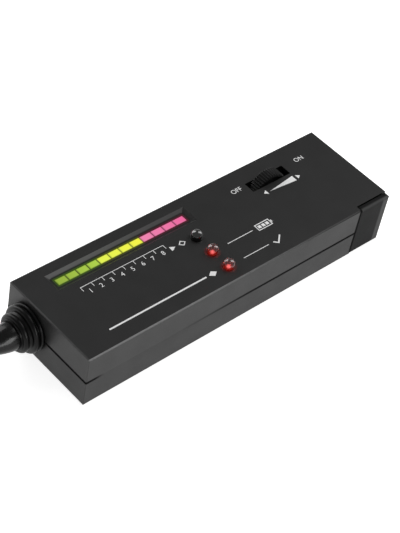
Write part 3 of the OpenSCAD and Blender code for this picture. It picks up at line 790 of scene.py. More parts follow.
@dataclass(frozen=True)
class BarLens(Finish):
    """Lit diffusing lens of the lamp bar, whose colour changes from its first lamp to its last."""

    last_colour: Colour
    start: float
    length: float
    pitch: float
    lens: float
    middle_y: float
    lens_width: float
    frost: float = 0.7
    edge: Point = (0.72, 1.05)
    edge_level: float = 0.55
    strength: float = 0.92

    def shade(self, graph: ShaderGraph) -> None:
        """Light each lens, a little darker towards its edges.

        Args:
            graph: The material's graph.
        """
        x, y, _ = graph.place()
        from_start = x - self.start
        glow = graph.mix(from_start / self.length, self.colour, self.last_colour)
        from_middle = abs(from_start.repeat(self.pitch) - self.lens / 2) * (2 / self.lens)
        across = abs(y - self.middle_y) * (2 / self.lens_width)
        edge = from_middle.at_least(across).ease(*self.edge)
        frost = graph.noise(self.frost)
        graph.surface(
            Base_Color=graph.mix(frost, self.tinted(0.10), self.tinted(0.16)),
            Roughness=self.roughness + frost.swing(0.15),
            Emission_Color=graph.mix(edge * 0.8 + frost.swing(0.18), glow, self.tinted(self.edge_level)),
            Emission_Strength=self.strength,
        )


@dataclass(frozen=True)
class RoundLens(Finish):
    """Tinted clear lens of a signal lamp, which glows at its foot."""

    glow: Colour
    clear: float
    foot: float
    glow_height: float = 1.0
    glow_depth: float = 0.4
    swirl: float = 0.9
    ior: float = 1.42
    coat_ior: float = 1.75
    coat_roughness: float = 0.08

    def shade(self, graph: ShaderGraph) -> None:
        """Tint the lens and let it glow where it leaves the panel.

        Args:
            graph: The material's graph.
        """
        z = graph.place()[2]
        swirl = graph.noise(self.swirl, 2.0)
        above = z.ease(self.foot + self.glow_height, self.foot)
        at_foot = above * z.ease(self.foot - self.glow_depth, self.foot)
        graph.surface(
            Base_Color=graph.mix(swirl, self.tinted(0.95), self.tinted(1.05)),
            Roughness=self.roughness + swirl.swing(0.02),
            IOR=self.ior,
            Transmission_Weight=self.clear,
            Emission_Color=graph.mix(at_foot, BLACK, self.glow),
            Emission_Strength=1.0,
            Coat_Weight=1.0,
            Coat_Roughness=self.coat_roughness,
            Coat_IOR=self.coat_ior,
        )


@dataclass(frozen=True)
class GlowCore(Finish):
    """Light of a signal lamp's die, spread in the resin round it."""

    strength: float
    flicker: float = 0.5

    def shade(self, graph: ShaderGraph) -> None:
        """Light the core, a little uneven.

        Args:
            graph: The material's graph.
        """
        flicker = graph.noise(self.flicker, 2.0)
        graph.surface(
            Base_Color=BLACK,
            Roughness=self.roughness,
            Specular_IOR_Level=0.0,
            Emission_Color=graph.mix(flicker, self.tinted(0.85), self.tinted(1.1)),
            Emission_Strength=self.strength,
        )


@dataclass(frozen=True)
class PrintInk(Finish):
    """Screen-printed ink with the grain of its mesh."""

    mesh: float = 0.18
    mesh_depth: float = 0.01
    patch: float = 3.0

    def shade(self, graph: ShaderGraph) -> None:
        """Thin the ink a little in places.

        Args:
            graph: The material's graph.
        """
        mesh = graph.noise(self.mesh)
        patch = graph.noise(self.patch, 2.0)
        thin = (mesh * 0.6 + patch * 0.4).ease(0.5, 0.85)
        graph.surface(
            Base_Color=graph.mix(thin * 0.35, self.colour, self.tinted(0.45)),
            Roughness=self.roughness + mesh.swing(0.2),
            Normal=graph.bump(mesh, self.mesh_depth, 0.3),
        )


@dataclass(frozen=True)
class TurnedMetal(Finish):
    """Bare or plated metal with the fine lines of its turning."""

    stretch: Corner = (6.0, 0.6, 0.6)
    tarnish: Colour = (0.25, 0.2, 0.16)
    line: float = 0.8
    line_depth: float = 0.006
    patch: float = 2.4

    def shade(self, graph: ShaderGraph) -> None:
        """Line the metal and dull it in patches.

        Args:
            graph: The material's graph.
        """
        lines = graph.noise(self.line, stretch=self.stretch)
        dull = graph.noise(self.patch).ease(0.5, 0.85)
        graph.surface(
            Base_Color=graph.mix(dull * 0.3, self.colour, self.tarnish),
            Roughness=self.roughness + lines * 0.12 + dull * 0.1,
            Metallic=1.0,
            Normal=graph.bump(lines, self.line_depth, 0.4),
        )


@dataclass(frozen=True)
class BoardMask(Finish):
    """Solder mask over copper tracks."""

    track: Colour = (0.05, 0.3, 0.1)
    track_depth: float = 0.03
    pitch: float = 2.54
    area: float = 7.0
    weave: float = 0.5

    def shade(self, graph: ShaderGraph) -> None:
        """Draw tracks on the board's pitch where a coarse field calls for them.

        Args:
            graph: The material's graph.
        """
        x, y, _ = graph.place()
        field = graph.noise(self.area, 1.0)
        along = abs(y.repeat(self.pitch) - self.pitch / 2).ease(0.55, 0.4)
        across = abs(x.repeat(self.pitch) - self.pitch / 2).ease(0.45, 0.3)
        tracks = along * field.ease(0.48, 0.5) + across * field.ease(0.46, 0.44)
        graph.surface(
            Base_Color=graph.mix(tracks * 0.8, self.colour, self.track),
            Roughness=self.roughness + graph.noise(self.weave, 2.0).swing(0.15),
            Normal=graph.bump(tracks, self.track_depth, 0.5),
        )


@dataclass(frozen=True)
class ChipPackage(Finish):
    """Moulded package with tinned legs along its two sides."""

    rows: Point
    half_width: float
    leg: Colour = (0.6, 0.6, 0.58)
    leg_blend: float = 0.02
    grain: float = 0.25
    grain_depth: float = 0.02

    def shade(self, graph: ShaderGraph) -> None:
        """Tell the legs from the package by their distance from its middle line.

        Args:
            graph: The material's graph.
        """
        y = graph.place()[1]
        first, second = (abs(y - row) for row in self.rows)
        legs = first.at_most(second).ease(self.half_width, self.half_width + self.leg_blend)
        grain = graph.noise(self.grain)
        graph.surface(
            Base_Color=graph.mix(legs, self.colour, self.leg),
            Metallic=legs,
            Roughness=self.roughness + grain.swing(0.2) - legs * 0.25,
            Normal=graph.bump(grain, self.grain_depth, 0.4),
        )


@dataclass(frozen=True)
class SleevedCan(Finish):
    """Shrink sleeve with a pale stripe and the bare top of its can."""

    top: float
    middle_x: float
    bare: Point = (0.12, 0.05)
    stripe_from: Point = (2.4, 2.5)
    stripe: Colour = (0.5, 0.52, 0.55)
    can: Colour = (0.62, 0.62, 0.63)
    grain: float = 0.6
    grain_depth: float = 0.01

    def shade(self, graph: ShaderGraph) -> None:
        """Bare the can's top and paint the stripe down one side.

        Args:
            graph: The material's graph.
        """
        x, _, z = graph.place()
        bare = z.ease(*(self.top - depth for depth in self.bare))
        stripe = (x - self.middle_x).ease(*self.stripe_from)
        grain = graph.noise(self.grain, 2.0)
        graph.surface(
            Base_Color=graph.mix(bare, graph.mix(stripe, self.colour, self.stripe), self.can),
            Metallic=bare,
            Roughness=self.roughness + grain.swing(0.12),
            Normal=graph.bump(grain, self.grain_depth, 0.3),
        )


@dataclass(frozen=True)
class BatteryWrap(Finish):
    """Printed wrap of the battery in plain bands, with plated studs."""

    stud_x: float
    band_x: float
    stud_blend: float = 0.04
    band_blend: float = 0.15
    band: Colour = (0.45, 0.2, 0.06)
    stud: Colour = (0.66, 0.66, 0.64)
    crinkle: float = 1.4
    crinkle_stretch: Corner = (0.4, 1.0, 1.0)
    crinkle_depth: float = 0.02

    def shade(self, graph: ShaderGraph) -> None:
        """Band the wrap and plate the studs.

        Args:
            graph: The material's graph.
        """
        x = graph.place()[0]
        studs = x.ease(self.stud_x, self.stud_x - self.stud_blend)
        band = x.ease(self.band_x + self.band_blend, self.band_x)
        crinkle = graph.noise(self.crinkle, stretch=self.crinkle_stretch)
        graph.surface(
            Base_Color=graph.mix(studs, graph.mix(band, self.colour, self.band), self.stud),
            Metallic=(studs + band * 0.6) * 0.95,
            Roughness=self.roughness + crinkle.swing(0.15),
            Normal=graph.bump(crinkle, self.crinkle_depth, 0.4),
        )


def new_piece(name: str, mesh: bpy.types.Mesh) -> bpy.types.Object:
    """Put a mesh in the scene.

    Args:
        name: The piece's name.
        mesh: Its mesh.

    Returns:
        The piece, at the origin.
    """
    piece = bpy.data.objects.new(name, mesh)
    bpy.context.scene.collection.objects.link(piece)
    return piece


def carry(
    piece: bpy.types.Object, body: Body, nodes: Iterable[str] = ()
) -> bpy.types.Object:
    """Fasten a finished piece to a body and report it.

    Args:
        piece: The piece.
        body: The body that it moves with.
        nodes: Construction nodes that it stands for.

    Returns:
        The piece.
    """
    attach(piece, body.value)
    for node in nodes:
        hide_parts(node)
    LOG.info("%s: %d faces, on %s", piece.name, len(piece.data.polygons), body.value)
    return piece


def dress(node: str, finish: Finish) -> None:
    """Give a construction node a finish.

    Args:
        node: The node's name.
        finish: Its finish.
    """
    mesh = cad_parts[node].data
    mesh.materials.clear()
    mesh.materials.append(finish.material())
    LOG.info("%s: %s", node, finish.name)


def box_mm(node: str) -> tuple[Vector, Vector]:
    """Lowest and highest corner of a construction node in millimetres."""
    low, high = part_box(node)
    return low / MM, high / MM


def middle_mm(node: str) -> Vector:
    """Middle of a construction node's box in millimetres."""
    return sum(box_mm(node), Vector()) / 2


class GeometryTree(NodeGraph):
    """A geometry tree with named inputs, built once and run on many pieces."""

    def __init__(self, name: str, entries: dict[str, str]) -> None:
        """Start a tree that takes geometry in and gives geometry out.

        Args:
            name: The tree's name.
            entries: Names of its own inputs with their kinds of socket.
        """
        super().__init__(bpy.data.node_groups.new(name, "GeometryNodeTree"))
        for entry, kind in {"Geometry": "Geometry", **entries, "Material": "Material"}.items():
            self.tree.interface.new_socket(entry, in_out="INPUT", socket_type=f"NodeSocket{kind}")
        self.tree.interface.new_socket("Geometry", in_out="OUTPUT", socket_type="NodeSocketGeometry")
        self.inputs = self.node("NodeGroupInput")

    def given(self, name: str) -> bpy.types.NodeSocket:
        """Socket that brings a named input."""
        return self.inputs.outputs[name]

    def math(self, operation: str, *terms: Any) -> bpy.types.NodeSocket:
        """Result of a Math node on sockets or numbers."""
        return self.node("ShaderNodeMath", dict(enumerate(terms)), operation=operation).outputs[0]

    def finish(self, geometry: bpy.types.Node) -> None:
        """End the tree in Realize Instances and Set Material.

        Args:
            geometry: Node whose geometry the tree gives out.
        """
        real = self.node("GeometryNodeRealizeInstances", {"Geometry": geometry})
        sockets = {"Geometry": real, "Material": self.given("Material")}
        self.node("NodeGroupOutput", {0: self.node("GeometryNodeSetMaterial", sockets)})

    def make(
        self, name: str, mesh: bpy.types.Mesh, finish: Finish, place: Optional[Matrix] = None, **values: Any
    ) -> bpy.types.Object:
        """Run the tree on a mesh and keep its result as a piece with a plain mesh.

        Args:
            name: The piece's name.
            mesh: The mesh that goes in.
            finish: The piece's finish.
            place: Where a closed shape goes in metres, once its faces point outwards.
            values: Inputs by name, with underscores for spaces.

        Returns:
            The piece, with its place in its mesh.
        """
        piece = new_piece(name, mesh)
        modifier = piece.modifiers.new(self.tree.name, "NODES")
        modifier.node_group = self.tree
        values["Material"] = finish.material()
        for item in self.tree.interface.items_tree:
            key = item.name.replace(" ", "_")
            if item.in_out == "INPUT" and key in values:
                modifier[item.identifier] = values[key]
        bpy.context.view_layer.update()
        evaluated = piece.evaluated_get(bpy.context.evaluated_depsgraph_get())
        made = bpy.data.meshes.new_from_object(evaluated)
        piece.modifiers.remove(modifier)
        made.name = name
        piece.data = made
        if place is not None:
            face_outwards(made)
            made.transform(place)
        return piece


class Lathe(GeometryTree):
    """Turns a profile round the Z axis, with teeth on its rim if it has any."""

    SHARP_ANGLE = math.radians(32)
    MERGE = 0.002 * MM

    def __init__(self) -> None:
        """Build the tree."""
        sizes = {"Steps": "Int", "Teeth": "Int", "Tooth Depth": "Float", "Rim Radius": "Float"}
        super().__init__("lathe", sizes)
        profile, steps = self.given("Geometry"), self.given("Steps")
        domain = self.node("GeometryNodeAttributeDomainSize", {"Geometry": profile})
        points = domain.outputs["Point Count"]
        columns = self.math("ADD", steps, 1)
        grid = self.node("GeometryNodeMeshGrid", {"Vertices X": columns, "Vertices Y": points})
        index = self.node("GeometryNodeInputIndex")
        column = self.math("FLOOR", self.math("DIVIDE", index, points))
        row = self.math("SUBTRACT", index, self.math("MULTIPLY", column, points))
        position = self.node("GeometryNodeInputPosition")
        sources = {"Geometry": profile, "Value": position, "Index": row}
        sample = self.node("GeometryNodeSampleIndex", sources, data_type="FLOAT_VECTOR", domain="POINT")
        split = self.node("ShaderNodeSeparateXYZ", {0: sample})
        angle = self.math("MULTIPLY", self.math("DIVIDE", column, steps), math.tau)
        radius = self._toothed(split.outputs[0], angle)
        ways = [self.math("MULTIPLY", radius, self.math(way, angle)) for way in ("COSINE", "SINE")]
        turned = self.node("ShaderNodeCombineXYZ", {0: ways[0], 1: ways[1], 2: split.outputs[2]})
        shaped = self.node("GeometryNodeSetPosition", {"Geometry": grid, "Position": turned})
        closed = self.node("GeometryNodeMergeByDistance", {"Geometry": shaped, "Distance": self.MERGE})
        self.finish(self._smoothed(closed))

    def _toothed(self, radius: bpy.types.NodeSocket, angle: bpy.types.NodeSocket) -> bpy.types.NodeSocket:
        """Sink the gaps between the teeth into the rim.

        Args:
            radius: Radius of the profile.
            angle: Angle round the axis.

        Returns:
            The toothed radius.
        """
        wave = self.math("COSINE", self.math("MULTIPLY", angle, self.given("Teeth")))
        gap = self.math("MULTIPLY_ADD", wave, -0.5, 0.5)
        on_rim = self.math("GREATER_THAN", radius, self.given("Rim Radius"))
        depth = self.math("MULTIPLY", self.math("MULTIPLY", gap, on_rim), self.given("Tooth Depth"))
        return self.math("SUBTRACT", radius, depth)

    def _smoothed(self, geometry: bpy.types.Node) -> bpy.types.Node:
        """Shade smooth apart from sharp edges.

        Args:
            geometry: Node of the turned mesh.

        Returns:
            Node of the shaded mesh.
        """
        smooth = self.node("GeometryNodeSetShadeSmooth", {"Geometry": geometry}, domain="FACE")
        blunt = self.math("LESS_THAN", self.node("GeometryNodeInputMeshEdgeAngle"), self.SHARP_ANGLE)
        sockets = {"Geometry": smooth, "Shade Smooth": blunt}
        return self.node("GeometryNodeSetShadeSmooth", sockets, domain="EDGE")

    def turn(
        self,
        name: str,
        profile: Sequence[Point],
        place: Matrix,
        finish: Finish,
        steps: int = 96,
        teeth: tuple[int, float, float] = (0, 0.0, 0.0),
    ) -> bpy.types.Object:
        """Turn a closed profile into a piece.

        Args:
            name: The piece's name.
            profile: Radius and height of its points in millimetres, in order round the section.
            place: Where its axis goes, in metres.
            finish: Its finish.
            steps: Steps round the axis.
            teeth: Count, depth and inner radius of the rim's teeth.

        Returns:
            The piece, with its place in its mesh.
        """
        mesh = bpy.data.meshes.new(name)
        mesh.from_pydata([(radius * MM, 0.0, height * MM) for radius, height in profile], [], [])
        count, depth, rim = teeth
        sizes = {"Steps": steps, "Teeth": count, "Tooth_Depth": depth * MM, "Rim_Radius": rim * MM}
        return self.make(name, mesh, finish, place, **sizes)


class Row(GeometryTree):
    """Repeats the piece's own shape in a straight row."""

    def __init__(self) -> None:
        """Build the tree."""
        super().__init__("row", {"Count": "Int", "Step": "Vector"})
        steps = {"Count": self.given("Count"), "Offset": self.given("Step")}
        line = self.node("GeometryNodeMeshLine", steps, mode="OFFSET")
        self.finish(
            self.node("GeometryNodeInstanceOnPoints", {"Points": line, "Instance": self.given("Geometry")})
        )

    def lay(
        self, name: str, shape: bpy.types.Mesh, count: int, step: Sequence[float], finish: Finish
    ) -> bpy.types.Object:
        """Lay a row of one shape.

        Args:
            name: The piece's name.
            shape: Mesh of the first copy, in its place.
            count: How many copies there are.
            step: Way from copy to copy in millimetres.
            finish: Their finish.

        Returns:
            The piece.
        """
        return self.make(name, shape, finish, Count=count, Step=tuple(way * MM for way in step))


class Coil(GeometryTree):
    """Winds round wire into a spring along Z."""

    TURN_STEPS: int = 32
    WIRE_STEPS: int = 12

    def __init__(self) -> None:
        """Build the tree."""
        sizes = ("Radius", "Height", "Turns", "Wire Radius")
        super().__init__("coil", {size: "Float" for size in sizes})
        radius, height, turns, thickness = (self.given(size) for size in sizes)
        path = self.node(
            "GeometryNodeCurveSpiral",
            {
                "Resolution": self.TURN_STEPS,
                "Rotations": turns,
                "Start Radius": radius,
                "End Radius": radius,
                "Height": height,
            },
        )
        wire = self.node(
            "GeometryNodeCurvePrimitiveCircle", {"Resolution": self.WIRE_STEPS, "Radius": thickness}
        )
        tube = self.node(
            "GeometryNodeCurveToMesh", {"Curve": path, "Profile Curve": wire, "Fill Caps": True}
        )
        self.finish(self.node("GeometryNodeSetShadeSmooth", {"Geometry": tube}))

    def wind(
        self,
        name: str,
        radius: float,
        height: float,
        turns: float,
        wire: float,
        place: Matrix,
        finish: Finish,
    ) -> bpy.types.Object:
        """Wind a spring.

        Args:
            name: The piece's name.
            radius: Radius at the middle of the wire, in millimetres.
            height: Rise of the wire from end to end, in millimetres.
            turns: How often it goes round.
            wire: Radius of the wire, in millimetres.
            place: Where its first turn's middle goes, in metres.
            finish: Its finish.

        Returns:
            The piece, with its place in its mesh.
        """
        sizes = {"Radius": radius * MM, "Height": height * MM, "Wire_Radius": wire * MM}
        return self.make(name, bpy.data.meshes.new(name), finish, place, Turns=float(turns), **sizes)


def face_outwards(mesh: bpy.types.Mesh) -> None:
    """Drop flat leftovers of a closed mesh and turn its faces outwards.

    Args:
        mesh: The mesh, which is changed in place.
    """
    made = bmesh.new()
    made.from_mesh(mesh)
    bmesh.ops.dissolve_degenerate(made, dist=TOUCH, edges=made.edges)
    bmesh.ops.recalc_face_normals(made, faces=made.faces)
    made.to_mesh(mesh)
    made.free()


def arc(centre: Point, radius: float, start: float, end: float, steps: int = 8) -> list[Point]:
    """Points of an arc in a profile.

    Args:
        centre: Radius and height of its centre.
        radius: Its radius.
        start: First angle in degrees, from the outward direction.
        end: Last angle in degrees.
        steps: Steps between them.

    Returns:
        The points, both ends included.
    """
    angles = (math.radians(start + (end - start) * i / steps) for i in range(steps + 1))
    return [(centre[0] + radius * math.cos(a), centre[1] + radius * math.sin(a)) for a in angles]


def as_mesh(made: bmesh.types.BMesh, name: str) -> bpy.types.Mesh:
    """Keep a finished shape as a mesh.

    Args:
        made: The shape, which is freed.
        name: The mesh's name.

    Returns:
        The mesh.
    """
    mesh = bpy.data.meshes.new(name)
    made.to_mesh(mesh)
    made.free()
    return mesh


def rhombus(middle: Point, half: Point) -> list[Point]:
    """Outline of a rhombus with that middle and those half diagonals."""
    (x, y), (across, up) = middle, half
    return [(x - across, y), (x, y - up), (x + across, y), (x, y + up)]


def rectangle(middle: Point, half: Point) -> list[Point]:
    """Outline of a rectangle with that middle and those half sides."""
    (x, y), (across, up) = middle, half
    return [(x - across, y - up), (x + across, y - up), (x + across, y + up), (x - across, y + up)]


class FlatMarks:
    """Flat shapes in the plane of the panel, raised together into one thin film."""

    def __init__(self) -> None:
        """Start with no shapes."""
        self.shapes = bmesh.new()

    def polygon(self, outline: Sequence[Point]) -> None:
        """Add a filled outline, given counter-clockwise in millimetres."""
        self.shapes.faces.new([self.shapes.verts.new((x * MM, y * MM, 0.0)) for x, y in outline])

    def stroke(self, points: Sequence[Point], width: float, closed: bool = False) -> None:
        """Add a line with mitred corners.

        Args:
            points: Its corners in millimetres.
            width: Its width.
            closed: Whether it runs back to its first corner.
        """
        count = len(points)
        ways = [Vector(points[(i + 1) % count]) - Vector(points[i]) for i in range(count)]
        for way in ways:
            way.normalize()
        left, right = [], []
        for i, point in enumerate(points):
            before = ways[i - 1] if closed or i > 0 else ways[i]
            after = ways[i] if closed or i < count - 1 else ways[i - 1]
            side = Vector((-before.y - after.y, before.x + after.x)).normalized()
            reach = width / 2 / max(side.dot(Vector((-after.y, after.x))), 0.3)
            for row, sign in ((left, 1), (right, -1)):
                corner = Vector(point) + side * reach * sign
                row.append(self.shapes.verts.new((corner.x * MM, corner.y * MM, 0.0)))
        for i in range(count if closed else count - 1):
            k = (i + 1) % count
            self.shapes.faces.new((right[i], right[k], left[k], left[i]))

    def text(self, body: str, middle: Point, height: float) -> None:
        """Add plain figures or letters.

        Args:
            body: What to write.
            middle: Where its middle goes, in millimetres.
            height: Height of the letters.
        """
        curve = bpy.data.curves.new(f"letters_{body}", "FONT")
        curve.body = body
        holder = new_piece(f"letters_{body}", curve)
        bpy.context.view_layer.update()
        evaluated = holder.evaluated_get(bpy.context.evaluated_depsgraph_get())
        letters = bpy.data.meshes.new_from_object(evaluated)
        bpy.data.objects.remove(holder)
        xs = [v.co.x for v in letters.vertices]
        ys = [v.co.y for v in letters.vertices]
        scale = height * MM / (max(ys) - min(ys))
        centre = Vector(((max(xs) + min(xs)) / 2, (max(ys) + min(ys)) / 2, 0.0))
        place = Matrix.Translation((middle[0] * MM, middle[1] * MM, 0.0))
        letters.transform(place @ Matrix.Scale(scale, 4) @ Matrix.Translation(-centre))
        self.shapes.from_mesh(letters)
        bpy.data.meshes.remove(letters)

    def raise_film(self, name: str, low: float, high: float, finish: Finish) -> bpy.types.Object:
        """Raise the shapes into a film.

        Args:
            name: The piece's name.
            low: Height of its underside in millimetres.
            high: Height of its top.
            finish: Its finish.

        Returns:
            The piece.
        """
        made = self.shapes
        bmesh.ops.translate(made, verts=made.verts, vec=(0.0, 0.0, low * MM))
        bmesh.ops.remove_doubles(made, verts=made.verts, dist=TOUCH)
        raised = bmesh.ops.extrude_face_region(made, geom=made.faces[:])
        top = [v for v in raised["geom"] if isinstance(v, bmesh.types.BMVert)]
        bmesh.ops.translate(made, verts=top, vec=(0.0, 0.0, (high - low) * MM))
        bmesh.ops.recalc_face_normals(made, faces=made.faces)
        mesh = as_mesh(made, name)
        mesh.materials.append(finish.material())
        return new_piece(name, mesh)


def bevelled_box(low: Sequence[float], high: Sequence[float], bevel: float = 0.0) -> bmesh.types.BMesh:
    """Box with rounded edges.

    Args:
        low: Its low corner in millimetres.
        high: Its high corner.
        bevel: Radius of its edges.

    Returns:
        The box, still open to more shapes.
    """
    made = bmesh.new()
    bmesh.ops.create_cube(made, size=1.0)
    size = Vector(high) - Vector(low)
    middle = (Vector(high) + Vector(low)) / 2
    matrix = Matrix.Translation(middle * MM) @ Matrix.Diagonal((*(size * MM), 1.0))
    bmesh.ops.transform(made, matrix=matrix, verts=made.verts)
    if bevel > 0:
        bmesh.ops.bevel(made, geom=made.edges[:], offset=bevel * MM, segments=3, profile=0.5, affect="EDGES")
    return made


@dataclass(frozen=True)
class LegPair:
    """The two wire legs of a lamp."""

    size: float = 0.5
    pitch: float = 2.54
    bevel: float = 0.0

    def add(self, made: bmesh.types.BMesh, centre: Point, low: float, high: float) -> None:
        """Add the legs to a shape.

        Args:
            made: The shape.
            centre: Place of the lamp in plan.
            low: Height of their feet.
            high: Height of the lamp's underside.
        """
        half = self.size / 2
        for side in (-1, 1):
            x, y = centre[0] + side * self.pitch / 2, centre[1]
            box = bevelled_box((x - half, y - half, low), (x + half, y + half, high), self.bevel)
            leg = as_mesh(box, "leg")
            made.from_mesh(leg)
            bpy.data.meshes.remove(leg)


@dataclass
class Case:
    """The two moulded shells and the screws that hold them."""

    glow: LampGlow
    shaded_face_colour: Colour = grey(27)
    top_colour: Colour = grey(42)
    bottom_colour: Colour = grey(32)
    edge_highlight_colour: Colour = grey(146)
    edge_width: float = 0.9
    edge_fade: Point = (70.0, -60.0)
    upright_share: float = 0.15
    ends_share: float = 0.15
    wall_reflection_colours: tuple[Colour, Colour] = (grey(108), grey(70))
    roughness: float = 0.44
    top_gloss: float = 0.35
    bottom_gloss: float = 0.31
    seam_gap: float = 0.45
    seam_shade: float = 1.3
    cap_gap: float = 0.4

    def dress(self) -> None:
        """Give the shells their spark texture and the screws their plating."""
        low, high = box_mm("bottom_shell")[0], box_mm("top_shell")[1]
        boot_low, boot_high = box_mm("probe_boot")
        boot = middle_mm("probe_boot")
        # painted highlight along the case's edges
        edge_highlight = EdgeHighlight(
            low=tuple(low),
            high=tuple(high),
            width=self.edge_width,
            colour=self.edge_highlight_colour,
            fade=self.edge_fade,
            upright=self.upright_share,
            ends=self.ends_share,
        )
        seam = SeamShade(
            height=box_mm("top_shell")[0].z - self.seam_gap / 2,
            half=self.seam_gap * self.seam_shade,
            front=low.x,
            near=low.y,
            end=box_mm("battery_cap")[0].x - self.cap_gap,
            boot=(boot.y, boot.z),
            boot_radius=(boot_high.z - boot_low.z) / 2,
        )
        panel = PanelPlastic(
            "panel_plastic",
            self.top_colour,
            self.roughness,
            gloss=self.top_gloss,
            edge_highlight=edge_highlight,
            seam=seam,
            fall=(low.x, high.x),
            glow=self.glow,
            face=self.shaded_face_colour,
            wall=self.wall_reflection_colours[0],
            wall_end_reflection=self.wall_reflection_colours[1],
        )
        lower = SparkPlastic(
            "lower_plastic",
            self.bottom_colour,
            self.roughness,
            gloss=self.bottom_gloss,
            edge_highlight=replace(edge_highlight, high=(high.x, high.y, high.z * 2)),
            seam=seam,
            fall=(low.x, high.x),
        )
        dress("top_shell", panel)
        dress("bottom_shell", lower)
        dress("case_screws", TurnedMetal("zinc_plate", (0.52, 0.52, 0.54), 0.3, stretch=(1.0, 1.0, 4.0)))


@dataclass
class BatteryCap:
    """End cap that slides off along the case."""

    colour: Colour = grey(26)
    roughness: float = 0.5
    gloss: float = 0.055
    grain: float = 0.25
    grain_depth: float = 0.012
    edge_highlight_colour: Colour = grey(82)
    edge_width: float = 1.5
    band: float = 4.6
    band_blend: float = 1.3
    reflection_band_colour: Colour = grey(98)

    def dress(self) -> None:
        """Give the cap its duller, darker skin with painted edge highlights."""
        low, high = box_mm("battery_cap")
        beyond_mouth = (low.x - self.band, low.y, low.z)
        finish = CapPlastic(
            "cap_plastic",
            self.colour,
            self.roughness,
            grain=self.grain,
            grain_depth=self.grain_depth,
            gloss=self.gloss,
            edge_highlight=EdgeHighlight(beyond_mouth, tuple(high), self.edge_width, self.edge_highlight_colour),
            mouth=low.x,
            half_width=high.y,
            reflection_band_from=high.x - self.band,
            reflection_band_to=high.x - self.band + self.band_blend,
            band=self.reflection_band_colour,
        )
        dress("battery_cap", finish)


@dataclass
class LampBar:
    """Row of lit rectangular lamps in three colours behind the bevelled window."""

    gap: float = 0.45
    bevel: float = 0.15
    lens_height: float = 7.0
    roughness: float = 0.34
    group: int = 4
    holder_colour: Colour = grey(12)

    def build(self, row: Row, glow: LampGlow) -> None:
        """Make the lamps of each colour as one row.

        Args:
            row: The tree that repeats a lamp.
            glow: Their light on the holder.
        """
        colours = {
            "green": ("green_lamp", screen(142, 170, 52), screen(172, 210, 66)),
            "yellow": ("yellow_lamp", screen(222, 238, 74), screen(244, 240, 58)),
            "red": ("pink_lamp", screen(236, 128, 172), screen(232, 92, 152)),
        }
        for name, (slot, first, last) in colours.items():
            node = f"{name}_bar_lamps"
            low, high = box_mm(node)
            pitch = (high.x - low.x + self.gap) / self.group
            finish = BarLens(
                f"{slot}_lens",
                first,
                self.roughness,
                last_colour=last,
                start=low.x,
                length=high.x - low.x,
                pitch=pitch,
                lens=pitch - self.gap,
                middle_y=middle_mm(node).y,
                lens_width=high.y - low.y,
            )
            lamp = self._lamp(low, high, pitch - self.gap)
            piece = row.lay(f"{name}_bar_lens", lamp, self.group, (pitch, 0, 0), finish)
            carry(piece, Body.CASE, (node,))
        dark = self.holder_colour
        holder = PanelPlastic(
            "holder_plastic", dark, 0.55, gloss=0.2, glow=glow, face=dark, wall=dark, wall_end_reflection=dark
        )
        dress("bar_holder", holder)

    def _lamp(self, low: Vector, high: Vector, lens: float) -> bpy.types.Mesh:
        """Make the first lamp of a row.

        Args:
            low: Low corner of the row.
            high: High corner of the row.
            lens: Length of one lamp.

        Returns:
            Mesh of its lens and two legs.
        """
        under = high.z - self.lens_height
        made = bevelled_box((low.x, low.y, under), (low.x + lens, high.y, high.z), self.bevel)
        LegPair().add(made, (low.x + lens / 2, (low.y + high.y) / 2), low.z, under)
        return as_mesh(made, "bar_lamp")


